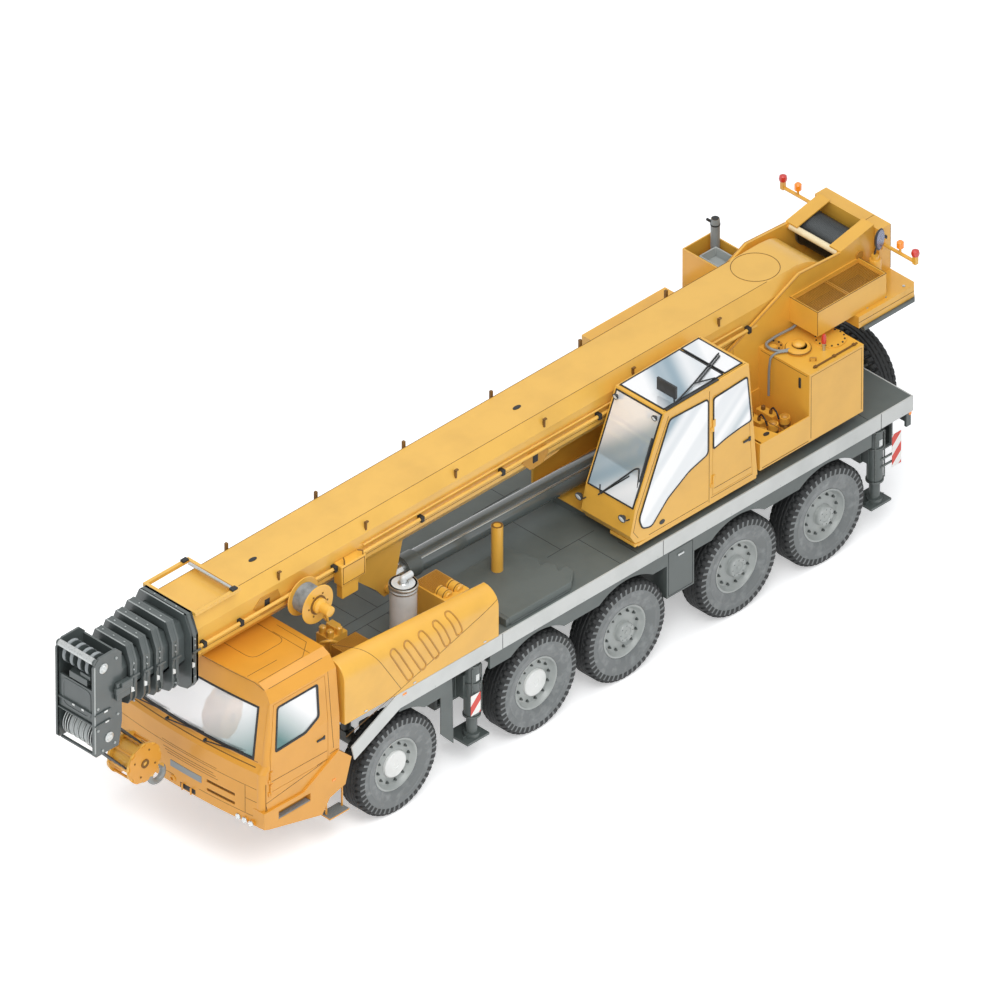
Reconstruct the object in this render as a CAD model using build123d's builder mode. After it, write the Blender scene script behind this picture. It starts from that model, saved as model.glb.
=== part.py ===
"""A five-axle all-terrain mobile crane with its telescopic boom stowed over the carrier cab.

Millimetres. +X is forward, +Y is left, +Z is up. The origin is on the ground,
under the middle of the overall length and width.
"""
import math
import os

from build123d import *

# Overall
HALF_WIDTH = 1500
HEAD_FRONT = 7275
SLAB_REAR = -7275

# Clearances: pieces seated on each other, pins in their holes, pieces that move past each other
SEAT_GAP = 0.3
PIN_GAP = 0.5
RUN_GAP = 6

# Axles and wheels
AXLE_X = [2825, 225, -1425, -3525, -5175]
STEERED = [True, True, False, True, True]
TYRE_RADIUS = 746.5
TYRE_WIDTH = 385
TYRE_HALF = TYRE_WIDTH / 2
BEAD_RADIUS = 368
BEAD_Y = TYRE_HALF - 62
FLANGE_Y = TYRE_HALF - 42
RIM_WALL = 14
WHEEL_Y = HALF_WIDTH - TYRE_HALF
HUB_Z = TYRE_RADIUS
HUB_BORE = 130
PLANET_HUB = 150
PLAIN_HUB = 195
KINGPIN_Y = HALF_WIDTH - 380
KINGPIN_DIA = 60
KNUCKLE_HALF = 200
KNUCKLE_RADIUS = 80
STUB_END = WHEEL_Y + 78
EAR_THICK = 40
AXLE_TUBE = 170
DIFF_RADIUS = 210
SPRING_Y = 520
SPRING_DIA = 140
SPRING_SEAT = 120
SPRING_TOP = 1500

SPARE_X = -7080
SPARE_Y = 30
SPARE_Z = 1440

# Chassis and deck
DECK_TOP = 1900
DECK_THICK = 15
PLATE = 20
DECK_REAR = -6785
DECK_FRONT = 3700
FRAME_HALF = 430
FRAME_BOTTOM = 1050
FRAME_REAR = DECK_REAR + 60
FRAME_STEP = 3650
FRAME_FRONT = 4600
FRAME_NOSE_TOP = 1400
FRAME_TOP = DECK_TOP - DECK_THICK
BAND_THICK = 20
BAND_BOTTOM = 1660
BAND_BEND_X = 2850
SKIRT_THICK = 40
SKIRT_BOTTOM = 1430
ARCH_RADIUS = 845
LOCKER_REAR = -2700
LOCKER_FRONT = -2190
LOCKER_BOTTOM = 900
LOCKER_INNER = FRAME_HALF + 60

# Outriggers: rear face, width, wall, web between the beams, foot plate, side of the rearmost beam
OUTRIGGERS = {
    "front": dict(rear=1130, width=770, wall=40, web=30, foot=400, first=1),
    "rear": dict(rear=-6680, width=620, wall=25, web=30, foot=380, first=-1),
}
BOX_BOTTOM = 1040
BOX_TOP = 1500
BOX_HALF = HALF_WIDTH - 255
BEAM_WALL = 12
JACK_Y = HALF_WIDTH - 135
JACK_DIA = 220
JACK_ROD = 150
JACK_TOP = 1620
JACK_BOTTOM = 760
FOOT_BOTTOM = 400
FOOT_THICK = 36

# Carrier cab: rear wall, then the height and nose of each level of its front
CAB_REAR = 3880
CAB_LEVELS = [(950, 5380), (1800, 5380), (1900, 5300), (2760, 5190), (3045, 5130)]
CAB_ROOF = CAB_LEVELS[-1][0]
CAB_FLOOR = 1440
CAB_WALL = 60
CAB_HALF = HALF_WIDTH - 30
CAB_BOW = 90
CAB_CORNER_X = 170
CAB_CORNER_Y = 110
FENDER_HALF = HALF_WIDTH
FENDER_INNER = CAB_HALF - 180
SCREEN_HALF = CAB_HALF - 250
SCREEN_LOW = 1945
SCREEN_HIGH = 2715
GLASS = 8
DOOR_REAR = 4090
DOOR_FRONT = 5150
DOOR_BOTTOM = 1480
DOOR_TOP = 2800
DOOR_GAP = 6
DOOR_HINGE_Z = (1560, 1760)

# Engine and its covers
ENGINE_REAR = 2000
ENGINE_FRONT = 3400
COVER_REAR = 960
COVER_FRONT = 3810
COVER_INNER = HALF_WIDTH - 540
COVER_TOP_REAR = 2630
COVER_TOP_FRONT = 2830
COVER_ROUND = 250
LOUVRE_WIDTH = 70
# middle and lower end of each louvre
LOUVRES = [(2750, 2040), (2475, 2110), (2200, 2180), (1925, 2250), (1650, 2310)]
AIR_BOX_REAR = 1010
AIR_BOX_FRONT = 1450
AIR_BOX_INNER = COVER_INNER - 340
AIR_BOX_TOP = 2450

SILENCER_X = 1985
SILENCER_Y = COVER_INNER - 210
SILENCER_RADIUS = 185
SILENCER_TOP = DECK_TOP + 1000
POST_X = 35
POST_Y = 540
POST_TOP = DECK_TOP + 840

# Superstructure
SLEW_X = -2600
RING_RADIUS = 900
RING_TOP = 2040
SIDE_PLATE_Y = 470
SIDE_PLATE = 40
PLATE_OUT = SIDE_PLATE_Y + SIDE_PLATE
TURN_BOTTOM = 2060
TURN_REAR = -4700
TURN_FRONT = -1650
BAY_REAR = -7050
BAY_FRONT = -6400
BAY_LOW = 3905
BAY_TOP = 4040
BAY_FLANGE_INNER = 300
SLAB_FRONT = -6170
SLAB_HALF = HALF_WIDTH - 400
SLAB_BOTTOM = 3100
SLAB_TOP = 3280
SLAB_CORNER = 60
WEIGHT_HALF = 600
WEIGHT_FRONT = -7062
WEIGHT_TOP = 4000

OP_INNER = PLATE_OUT + 50
OP_SIDE = HALF_WIDTH - 30
OP_WALL = 40
OP_DOOR_REAR = -3800
OP_DOOR_FRONT = -3050
OP_DOOR_BOTTOM = 2140
OP_DOOR_TOP = 3740
OP_HINGE_Z = (2400, 3300)
HOUSE_REAR = -5905
HOUSE_FRONT = -4886
HOUSE_SIDE = HALF_WIDTH - 50
HOUSE_BOTTOM = 2070
HOUSE_TOP = 3150
TRAY_FRONT = -3960
TRAY_TOP = 2490
MESH_REAR = -6757
MESH_FRONT = -5461
MESH_SIDE = PLATE_OUT + 520
MESH_TOP = 3670
HOOD_REAR = -5100
HOOD_FRONT = -3535
HOOD_TOP = 3040
BIN_REAR = -5800
BIN_FRONT = -5275
BIN_SIDE = 1300
BIN_BOTTOM = 2760
BIN_TOP = 3650
STACK_TOP = 4030

# Boom
PIVOT_X = -5775
PIVOT_Z = 3350
PIVOT_DIA = 160
BOOM_Z = 3515
BOOM_HALF_HEIGHT = 445
BOOM_HALF_WIDTH = 450
BOOM_STEP = 30
BOOM_WALL = 10
BOOM_TAIL_RADIUS = 600
# front and rear end of each tube, then half width, bottom and top of the collar at its front
SECTIONS = [
    dict(front=5670, rear=-6400, collar=540, low=2880, high=4060),
    dict(front=5950, rear=-4900, collar=465, low=2950, high=4050),
    dict(front=6195, rear=-4700, collar=418, low=2990, high=4030),
    dict(front=6400, rear=-4500, collar=392, low=3020, high=4000),
    dict(front=6615, rear=-4300, collar=366, low=3050, high=3970),
    dict(front=6760, rear=-4100, collar=0, low=0, high=0),
]
COLLAR_LENGTH = 120
PAD_HALF = 50
PAD_SPREAD = 1200
GUARD_REAR = 4710
GUARD_FRONT = 5540
GUARD_HALF = 490
GUARD_TOP = 4060
GUARD_BAR = 50
HEAD_HALF = 355
HEAD_PLATE = 30
HEAD_BOTTOM = 2540
HEAD_TOP = 4090
HEAD_SHEAVE_X = HEAD_FRONT - 180
HEAD_SHEAVE_Z = HEAD_TOP - 190
HEAD_SHEAVE_RADIUS = 165
HOOK_PIN_X = 7000
HOOK_PIN_Z = 2760

# Lift cylinder
CYL_BASE_X = -3675
CYL_BASE_Z = 2250
CYL_EYE_X = 1725
CYL_EYE_Z = 2400
CYL_DIA = 330
CYL_ROD = 230
CYL_PIN = 110
CYL_BARREL_END = 4950
CYL_BORE_START = 1200
CYL_LUG_GAP = 150
LUG_THICK = 40

# Winch
DRUM_X = -6770
DRUM_Z = 3700
DRUM_RADIUS = 240
FLANGE_RADIUS = 260
FLANGE_THICK = 30
DRUM_HALF = 400
DRUM_SHAFT = 90

# Hook block
BLOCK_X = 6205
BLOCK_Z = 1850
BLOCK_RADIUS = 300
BLOCK_SHEAVE = 230
PIN_SHEAVE = 215
ROPE_DIA = 24
ROPE_ROWS = (-135, -45, 45, 135)

SIDES = {"left": 1, "right": -1}
HINGE_RADIUS = 12
HINGE_LEAF = 40
HINGE_HALF = 60

os.makedirs("parts", exist_ok=True)


def block(x0, x1, y0, y1, z0, z1, mode=Mode.ADD):
    """Adds or cuts a box given by its limits, in either order."""
    with Locations(((x0 + x1) / 2, (y0 + y1) / 2, (z0 + z1) / 2)):
        Box(abs(x1 - x0), abs(y1 - y0), abs(z1 - z0), mode=mode)


def rod(along, x, y, z, radius, length, mode=Mode.ADD):
    """Adds or cuts a round bar centred on a point and lying along one axis."""
    turn = {"x": (0, 90, 0), "y": (90, 0, 0), "z": (0, 0, 0)}[along]
    with Locations((x, y, z)):
        Cylinder(radius, length, rotation=turn, mode=mode)


def outline(plane, points, rounding=0):
    """A closed outline on a plane, its corners rounded when a radius is given."""
    with BuildSketch(plane) as drawn:
        with BuildLine():
            Polyline(*points, close=True)
        make_face()
        if rounding:
            fillet(drawn.vertices(), rounding)
    return drawn.sketch


def side_shape(points, y0, y1, mode=Mode.ADD, rounding=0):
    """Carries an outline drawn in X and Z across the machine."""
    extrude(outline(Plane.XZ.offset(-y0), points, rounding), amount=y0 - y1, mode=mode)


def cross_shape(points, x0, x1, mode=Mode.ADD):
    """Carries an outline drawn in Y and Z along the machine."""
    extrude(outline(Plane.YZ.offset(x0), points), amount=x1 - x0, mode=mode)


def plan_shape(points, z0, z1, mode=Mode.ADD):
    """Carries an outline drawn in X and Y upwards."""
    extrude(outline(Plane.XY.offset(z0), points), amount=z1 - z0, mode=mode)


def save(part, name):
    """Labels a finished piece and writes it."""
    part.label = name
    export_step(part, f"parts/{name}.step")


def hinge_leaf(axis_x, face_y, side, way, z0, z1):
    """A hinge's barrel beside a wall and the leaf that holds it, ahead of the axis or behind it."""
    axis_y = face_y + side * (HINGE_RADIUS + SEAT_GAP)
    block(axis_x, axis_x + way * HINGE_LEAF, face_y, axis_y, z0, z1)
    rod("z", axis_x, axis_y, (z0 + z1) / 2, HINGE_RADIUS, z1 - z0)


def tunnel_width(o):
    """The clear width of one of the two tunnels of an outrigger box."""
    return (o["width"] - 2 * o["wall"] - o["web"]) / 2


def tunnel_start(o, side):
    """The rear inner face of the tunnel whose beam comes out on this side."""
    first = o["rear"] + o["wall"]
    return first if side == o["first"] else first + tunnel_width(o) + o["web"]

# Wheels: a tyre on a dished rim whose hub runs on the stub of the knuckle.
TYRE_PROFILE = [
    (BEAD_RADIUS + SEAT_GAP, -BEAD_Y),
    (480, -TYRE_HALF + 15),
    (620, -TYRE_HALF),
    (700, -TYRE_HALF + 10),
    (TYRE_RADIUS, -TYRE_HALF + 50),
    (TYRE_RADIUS, TYRE_HALF - 50),
    (700, TYRE_HALF - 10),
    (620, TYRE_HALF),
    (480, TYRE_HALF - 15),
    (BEAD_RADIUS + SEAT_GAP, BEAD_Y),
]


def rim_outline(planetary):
    """The half section of a rim with its disc and hub: radius, then distance outwards."""
    hub_out = TYRE_HALF if planetary else TYRE_HALF - 45
    hub_radius = PLANET_HUB if planetary else PLAIN_HUB
    well = BEAD_RADIUS - RIM_WALL
    sleeve = HUB_BORE / 2 + 60
    return [
        (0, 100), (0, hub_out), (hub_radius - 20, hub_out), (hub_radius, hub_out - 20),
        (hub_radius, 100), (285, 85), (well - 6, 95),
        (well, BEAD_Y - 5), (BEAD_RADIUS + 24, FLANGE_Y), (BEAD_RADIUS, BEAD_Y),
        (BEAD_RADIUS, -BEAD_Y), (BEAD_RADIUS + 24, -FLANGE_Y), (BEAD_RADIUS - 10, -FLANGE_Y),
        (well, -BEAD_Y), (well - 20, 55),
        (sleeve, 65), (sleeve, -60), (HUB_BORE / 2 + PIN_GAP, -60),
        (HUB_BORE / 2 + PIN_GAP, 79), (0, 79),
    ]


def make_wheel(x, side, planetary):
    """A tyre and its rim, two solids turned about the hub's axis."""
    y = side * WHEEL_Y
    plane = Plane(origin=(x, y, HUB_Z), x_dir=(0, 0, 1), z_dir=(-side, 0, 0))
    with BuildPart() as wheel:
        for points in (TYRE_PROFILE, rim_outline(planetary)):
            with BuildSketch(plane):
                with BuildLine():
                    Polyline(*points, close=True)
                make_face()
            revolve(axis=Axis((x, y, HUB_Z), (0, 1, 0)))
    return wheel.part


for number, axle_x in enumerate(AXLE_X, start=1):
    for side_name, side in SIDES.items():
        save(make_wheel(axle_x, side, number > 2), f"wheel_{number}_{side_name}")

# Knuckles: a kingpin barrel with the stub that the hub runs on.
for number, axle_x in enumerate(AXLE_X, start=1):
    if not STEERED[number - 1]:
        continue
    for side_name, side in SIDES.items():
        king_y = side * KINGPIN_Y
        with BuildPart() as knuckle:
            rod("z", axle_x, king_y, HUB_Z, KNUCKLE_RADIUS, 2 * KNUCKLE_HALF)
            rod("y", axle_x, side * (KINGPIN_Y + STUB_END) / 2, HUB_Z, HUB_BORE / 2, STUB_END - KINGPIN_Y)
            rod("z", axle_x, king_y, HUB_Z, KINGPIN_DIA / 2 + PIN_GAP, 2 * KNUCKLE_HALF, Mode.SUBTRACT)
        save(knuckle.part, f"knuckle_{number}_{side_name}")

# Axles: a tube with a final drive, forked at the kingpins, or with its own stubs.
AXLE_END = KINGPIN_Y - 105
with BuildPart() as axles:
    for axle_x, steered in zip(AXLE_X, STEERED):
        if steered:
            rod("y", axle_x, 0, HUB_Z, AXLE_TUBE / 2, 2 * AXLE_END)
            for side in SIDES.values():
                for way in (1, -1):
                    ear_in = HUB_Z + way * (KNUCKLE_HALF + SEAT_GAP)
                    ear_out = ear_in + way * EAR_THICK
                    block(axle_x - 70, axle_x + 70, side * (AXLE_END - 40), side * (KINGPIN_Y + 60), ear_in, ear_out)
                    block(axle_x - 70, axle_x + 70, side * (AXLE_END - 40), side * AXLE_END, HUB_Z, ear_out)
                rod("z", axle_x, side * KINGPIN_Y, HUB_Z, KINGPIN_DIA / 2, 2 * KNUCKLE_HALF + 60)
        else:
            rod("y", axle_x, 0, HUB_Z, AXLE_TUBE / 2, 2 * (KINGPIN_Y - 40))
            rod("y", axle_x, 0, HUB_Z, HUB_BORE / 2, 2 * STUB_END)
        with Locations((axle_x, 0, HUB_Z)):
            Sphere(DIFF_RADIUS)
        for side in SIDES.values():
            block(axle_x - 80, axle_x + 80, side * (SPRING_Y - 80), side * (SPRING_Y + 80), HUB_Z, HUB_Z + SPRING_SEAT)
save(axles.part, "axles")

with BuildPart() as suspension:
    bottom = HUB_Z + SPRING_SEAT + SEAT_GAP
    for axle_x in AXLE_X:
        for side in SIDES.values():
            rod("z", axle_x, side * SPRING_Y, (bottom + SPRING_TOP) / 2, SPRING_DIA / 2, SPRING_TOP - bottom)
            block(axle_x - 60, axle_x + 60, side * (FRAME_HALF + SEAT_GAP), side * (SPRING_Y + 60), 1350, 1520)
save(suspension.part, "suspension")

# Chassis: a welded box frame with the outrigger boxes across it.
FRAME_OUTLINE = [
    (FRAME_REAR, FRAME_BOTTOM), (3500, FRAME_BOTTOM), (FRAME_FRONT, 1020), (FRAME_FRONT, FRAME_NOSE_TOP),
    (FRAME_STEP, FRAME_NOSE_TOP), (FRAME_STEP, FRAME_TOP), (FRAME_REAR, FRAME_TOP),
]
with BuildPart() as chassis_frame:
    side_shape(FRAME_OUTLINE, -FRAME_HALF, FRAME_HALF)
    inside = FRAME_HALF - PLATE
    for x0, x1 in ((FRAME_REAR + PLATE, ENGINE_REAR - 100), (ENGINE_REAR - 60, ENGINE_FRONT + 60)):
        block(x0, x1, -inside, inside, FRAME_BOTTOM, FRAME_TOP - PLATE, Mode.SUBTRACT)
    for o in OUTRIGGERS.values():
        block(o["rear"], o["rear"] + o["width"], -BOX_HALF, BOX_HALF, BOX_BOTTOM, BOX_TOP)
    stub_end = SPARE_X + 30 + SEAT_GAP
    rod("x", (FRAME_REAR + stub_end) / 2, SPARE_Y, SPARE_Z, 90, FRAME_REAR - stub_end)
    for o in OUTRIGGERS.values():
        for side in SIDES.values():
            start = tunnel_start(o, side)
            block(start, start + tunnel_width(o), -BOX_HALF, BOX_HALF,
                  BOX_BOTTOM + o["wall"], BOX_TOP - o["wall"], Mode.SUBTRACT)
save(chassis_frame.part, "chassis_frame")

# Outrigger beams and their jacks
for place, o in OUTRIGGERS.items():
    for side_name, side in SIDES.items():
        x0 = tunnel_start(o, side) + RUN_GAP
        x1 = x0 + tunnel_width(o) - 2 * RUN_GAP
        middle = (x0 + x1) / 2
        z0 = BOX_BOTTOM + o["wall"] + RUN_GAP
        z1 = BOX_TOP - o["wall"] - RUN_GAP
        inner = -BOX_HALF + 10
        with BuildPart() as beam:
            block(x0, x1, side * inner, side * JACK_Y, z0, z1)
            block(x0 + BEAM_WALL, x1 - BEAM_WALL, side * inner, side * (JACK_Y - JACK_DIA / 2 - 20),
                  z0 + BEAM_WALL, z1 - BEAM_WALL, Mode.SUBTRACT)
            # wear pads that carry the beam in its tunnel
            for pad_y in (inner + 60, BOX_HALF - 60):
                for near, far in ((z1, z1 + RUN_GAP - SEAT_GAP), (z0 - RUN_GAP + SEAT_GAP, z0)):
                    block(x0 + 20, x1 - 20, side * (pad_y - PAD_HALF), side * (pad_y + PAD_HALF), near, far)
            rod("z", middle, side * JACK_Y, (JACK_TOP + JACK_BOTTOM) / 2, JACK_DIA / 2, JACK_TOP - JACK_BOTTOM)
            rod("z", middle, side * JACK_Y, (JACK_TOP + JACK_BOTTOM) / 2 - 30, JACK_ROD / 2 + PIN_GAP,
                JACK_TOP - JACK_BOTTOM, Mode.SUBTRACT)
        save(beam.part, f"outrigger_beam_{place}_{side_name}")
        half = o["foot"] / 2
        foot_y = side * (HALF_WIDTH - half - 5)
        foot_top = FOOT_BOTTOM + FOOT_THICK
        with BuildPart() as jack:
            rod("z", middle, side * JACK_Y, (foot_top + JACK_TOP - 60) / 2, JACK_ROD / 2, JACK_TOP - 60 - foot_top)
            block(middle - half, middle + half, foot_y - half, foot_y + half, FOOT_BOTTOM, foot_top)
            rod("z", middle, side * JACK_Y, foot_top + 30, JACK_DIA / 2, 60)
        save(jack.part, f"outrigger_jack_{place}_{side_name}")

# Deck plates and side bands
with BuildPart() as deck:
    block(DECK_REAR, DECK_FRONT, -HALF_WIDTH + BAND_THICK, HALF_WIDTH - BAND_THICK, FRAME_TOP, DECK_TOP)
save(deck.part, "deck")

BAND_OUTLINE = [
    (DECK_REAR + SEAT_GAP, BAND_BOTTOM), (BAND_BEND_X - 60, BAND_BOTTOM), (3630, 1254), (3684, 1479),
    (BAND_BEND_X, DECK_TOP), (DECK_REAR + SEAT_GAP, DECK_TOP),
]
with BuildPart() as side_bands:
    for side in SIDES.values():
        side_shape(BAND_OUTLINE, side * (HALF_WIDTH - BAND_THICK), side * HALF_WIDTH)
    block(DECK_REAR - BAND_THICK, DECK_REAR, -HALF_WIDTH, HALF_WIDTH, BAND_BOTTOM, DECK_TOP)
save(side_bands.part, "side_bands")

# Side lockers between the third and fourth axles, and the skirts over the wheels
with BuildPart() as lockers:
    for side in SIDES.values():
        edge = side * (HALF_WIDTH - BAND_THICK)
        skirt = side * (HALF_WIDTH - BAND_THICK - SKIRT_THICK)
        block(DECK_REAR, BAND_BEND_X - 60, skirt, edge, SKIRT_BOTTOM, FRAME_TOP)
        for axle_x in AXLE_X:
            rod("y", axle_x, (edge + skirt) / 2, HUB_Z, ARCH_RADIUS, SKIRT_THICK + 2, Mode.SUBTRACT)
        for o in OUTRIGGERS.values():
            block(o["rear"] - 20, o["rear"] + o["width"] + 20, skirt, edge, SKIRT_BOTTOM, JACK_TOP + 20, Mode.SUBTRACT)
        block(LOCKER_REAR, LOCKER_FRONT, side * LOCKER_INNER, edge, LOCKER_BOTTOM, FRAME_TOP)
save(lockers.part, "lockers")

# Carrier cab: its form is drawn in levels from above and trimmed by its front view.


def cab_plan(nose, z, depth):
    """The cab seen from above at one height, with tight front corners and a bowed front."""
    half = CAB_HALF - depth
    rear = CAB_REAR + depth
    front = nose - depth
    with BuildSketch(Plane.XY.offset(z)) as plan:
        with BuildLine():
            Polyline((front - CAB_CORNER_X, half), (rear, half), (rear, -half), (front - CAB_CORNER_X, -half))
            for side in (1, -1):
                ThreePointArc((front - CAB_CORNER_X, side * half), (front - CAB_CORNER_X + 62, side * (half - 30)),
                              (front - CAB_BOW, side * (half - CAB_CORNER_Y)))
            ThreePointArc((front - CAB_BOW, CAB_CORNER_Y - half), (front, 0), (front - CAB_BOW, half - CAB_CORNER_Y))
        make_face()
    return plan.sketch


def cab_form(depth, bottom):
    """The cab's whole form, drawn in by a depth on every side and cut off at a height."""
    half = CAB_HALF - depth
    levels = [(z, nose) for z, nose in CAB_LEVELS if bottom < z < CAB_ROOF - depth]
    levels = [(bottom, CAB_LEVELS[0][1])] + levels + [(CAB_ROOF - depth, CAB_LEVELS[-1][1])]
    with BuildPart() as form:
        for (z0, nose0), (z1, nose1) in zip(levels, levels[1:]):
            loft([cab_plan(nose0, z0, depth), cab_plan(nose1, z1, depth)])
        cross_shape([(-half, bottom - 10), (-half, 2100), (-half + 64, 2830 - depth / 2), (-half + 180, 2985 - depth),
                     (-half + 300, CAB_ROOF - depth), (half - 300, CAB_ROOF - depth), (half - 180, 2985 - depth),
                     (half - 64, 2830 - depth / 2), (half, 2100), (half, bottom - 10)],
                    CAB_REAR - 10, CAB_LEVELS[0][1] + 10, Mode.INTERSECT)
    return form.part


CAB_OUTSIDE = cab_form(0, CAB_LEVELS[0][0])
CAB_INSIDE = cab_form(CAB_WALL, CAB_FLOOR)
FENDER = [
    (3690, 1343), (3804, 956), (4089, 877), (4232, 676), (5200, 930), (5300, 970),
    (5300, 1223), (4575, 1206), (3926, 1560),
]
DOORWAY = [
    (DOOR_REAR, DOOR_BOTTOM), (DOOR_REAR, DOOR_TOP), (DOOR_FRONT - 120, DOOR_TOP),
    (DOOR_FRONT, 2080), (DOOR_FRONT, DOOR_BOTTOM),
]
DOOR_EDGE = [
    (DOOR_REAR + DOOR_GAP, DOOR_BOTTOM + DOOR_GAP), (DOOR_REAR + DOOR_GAP, DOOR_TOP - DOOR_GAP),
    (DOOR_FRONT - 126, DOOR_TOP - DOOR_GAP), (DOOR_FRONT - DOOR_GAP, 2079),
    (DOOR_FRONT - DOOR_GAP, DOOR_BOTTOM + DOOR_GAP),
]
DOOR_WINDOW = [(4225, 2735), (4240, 2240), (4500, 2110), (5060, 2085), (4970, 2735)]
DOOR_DEPTH = 220
HINGE_X = DOOR_FRONT + 3
with BuildPart() as carrier_cab:
    add(CAB_OUTSIDE)
    add(CAB_INSIDE, mode=Mode.SUBTRACT)
    # open underneath, and seated on the frame's nose
    block(CAB_REAR - 10, CAB_LEVELS[0][1] - CAB_BOW - CAB_WALL, -FENDER_INNER, FENDER_INNER,
          CAB_LEVELS[0][0] - 10, FRAME_NOSE_TOP + SEAT_GAP, Mode.SUBTRACT)
    block(5000, 5400, -SCREEN_HALF, SCREEN_HALF, SCREEN_LOW, SCREEN_HIGH, Mode.SUBTRACT)
    for side in SIDES.values():
        side_shape(DOORWAY, side * (CAB_HALF - DOOR_DEPTH), side * (CAB_HALF + 10), Mode.SUBTRACT)
        side_shape(FENDER, side * FENDER_INNER, side * FENDER_HALF)
        # a step let into the fender, air slots and lamps in the bumper
        block(4446, 5032, side * (FENDER_HALF - 90), side * FENDER_HALF, 1010, 1140, Mode.SUBTRACT)
        for slot_z in (1140, 1280):
            block(5200, 5400, side * (HALF_WIDTH - 997), side * (HALF_WIDTH - 511), slot_z, slot_z + 45, Mode.SUBTRACT)
        for lamp_in in (450, 330, 210):
            rod("x", 5305, side * (HALF_WIDTH - lamp_in), 985, 45, 60)
        for z in DOOR_HINGE_Z:
            hinge_leaf(HINGE_X, side * CAB_HALF, side, 1, z - 2 * HINGE_HALF - SEAT_GAP, z - HINGE_HALF - SEAT_GAP)
    # fixed steps hung under the door
    for side in SIDES.values():
        block(3730, 4089, side * (FENDER_HALF - 200), side * FENDER_HALF, 510, 530)
        for post_x in (3760, 4050):
            block(post_x - 10, post_x + 10, side * (FENDER_HALF - 120), side * (FENDER_HALF - 100), 520, 1250)
save(carrier_cab.part, "carrier_cab")

for side_name, side in SIDES.items():
    with BuildPart() as carrier_door:
        side_shape(DOOR_EDGE, side * (CAB_HALF - DOOR_DEPTH), side * (CAB_HALF + 10))
        add(CAB_OUTSIDE, mode=Mode.INTERSECT)
        add(CAB_INSIDE, mode=Mode.SUBTRACT)
        side_shape(DOOR_WINDOW, side * (CAB_HALF - DOOR_DEPTH), side * (CAB_HALF + 10), Mode.SUBTRACT, rounding=35)
        for z in DOOR_HINGE_Z:
            hinge_leaf(HINGE_X, side * CAB_HALF, side, -1, z - HINGE_HALF, z + HINGE_HALF)
    save(carrier_door.part, f"carrier_door_{side_name}")

with BuildPart() as windscreen:
    half = SCREEN_HALF - SEAT_GAP
    block(5000, 5400, -half, half, SCREEN_LOW + SEAT_GAP, SCREEN_HIGH - SEAT_GAP)
    add(cab_form(12, CAB_FLOOR), mode=Mode.INTERSECT)
    add(cab_form(12 + GLASS, CAB_FLOOR), mode=Mode.SUBTRACT)
save(windscreen.part, "carrier_windscreen")

# Engine covers, engine and silencer behind the cab


def cover_section(side, x, top, wall):
    """One cross section of an engine cover, rounded at its outer shoulder."""
    outer = side * (HALF_WIDTH - wall)
    inner = side * (COVER_INNER + wall)
    round_in = COVER_ROUND - wall
    corner = round_in * (1 - math.sqrt(0.5))
    high = top - wall
    with BuildSketch(Plane.YZ.offset(x)) as section:
        with BuildLine():
            Polyline((outer - side * round_in, high), (inner, high), (inner, DECK_TOP), (outer, DECK_TOP),
                     (outer, high - round_in))
            ThreePointArc((outer, high - round_in), (outer - side * corner, high - corner),
                          (outer - side * round_in, high))
        make_face()
    return section.sketch


for side_name, side in SIDES.items():
    with BuildPart() as cover:
        for wall, mode in ((0, Mode.ADD), (PLATE, Mode.SUBTRACT)):
            loft([cover_section(side, COVER_REAR + wall, COVER_TOP_REAR, wall),
                  cover_section(side, COVER_FRONT - wall, COVER_TOP_FRONT, wall)], mode=mode)
        for louvre_x, low in LOUVRES:
            block(louvre_x - LOUVRE_WIDTH / 2, louvre_x + LOUVRE_WIDTH / 2,
                  side * (HALF_WIDTH - 320), side * (HALF_WIDTH + 10), low, 3000, Mode.SUBTRACT)
        if side > 0:
            block(AIR_BOX_REAR, AIR_BOX_FRONT, AIR_BOX_INNER, COVER_INNER, DECK_TOP, AIR_BOX_TOP)
            block(AIR_BOX_REAR + PLATE, AIR_BOX_FRONT - PLATE, AIR_BOX_INNER + PLATE, COVER_INNER - 1,
                  DECK_TOP + PLATE, AIR_BOX_TOP, Mode.SUBTRACT)
    save(cover.part, f"engine_cover_{side_name}")

with BuildPart() as engine:
    half = FRAME_HALF - PLATE
    block(ENGINE_REAR, ENGINE_FRONT, -half + 40, half - 40, 1000, FRAME_TOP - PLATE - 60)
    for foot_x in (ENGINE_REAR + 150, ENGINE_FRONT - 250):
        block(foot_x, foot_x + 100, -half, half, 1300, 1360)
save(engine.part, "engine")

with BuildPart() as silencer:
    rod("z", SILENCER_X, SILENCER_Y, (DECK_TOP + SILENCER_TOP) / 2, SILENCER_RADIUS, SILENCER_TOP - DECK_TOP)
    rod("z", SILENCER_X, SILENCER_Y, SILENCER_TOP + 35, 45, 70)
    with Locations((SILENCER_X, SILENCER_Y, SILENCER_TOP + 70)):
        Sphere(45)
    rod("x", SILENCER_X - 75, SILENCER_Y, SILENCER_TOP + 70, 45, 150)
save(silencer.part, "silencer")

# Post standing on the deck
with BuildPart() as deck_post:
    rod("z", POST_X, POST_Y, (DECK_TOP + POST_TOP) / 2, 80, POST_TOP - DECK_TOP)
save(deck_post.part, "deck_post")

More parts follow.
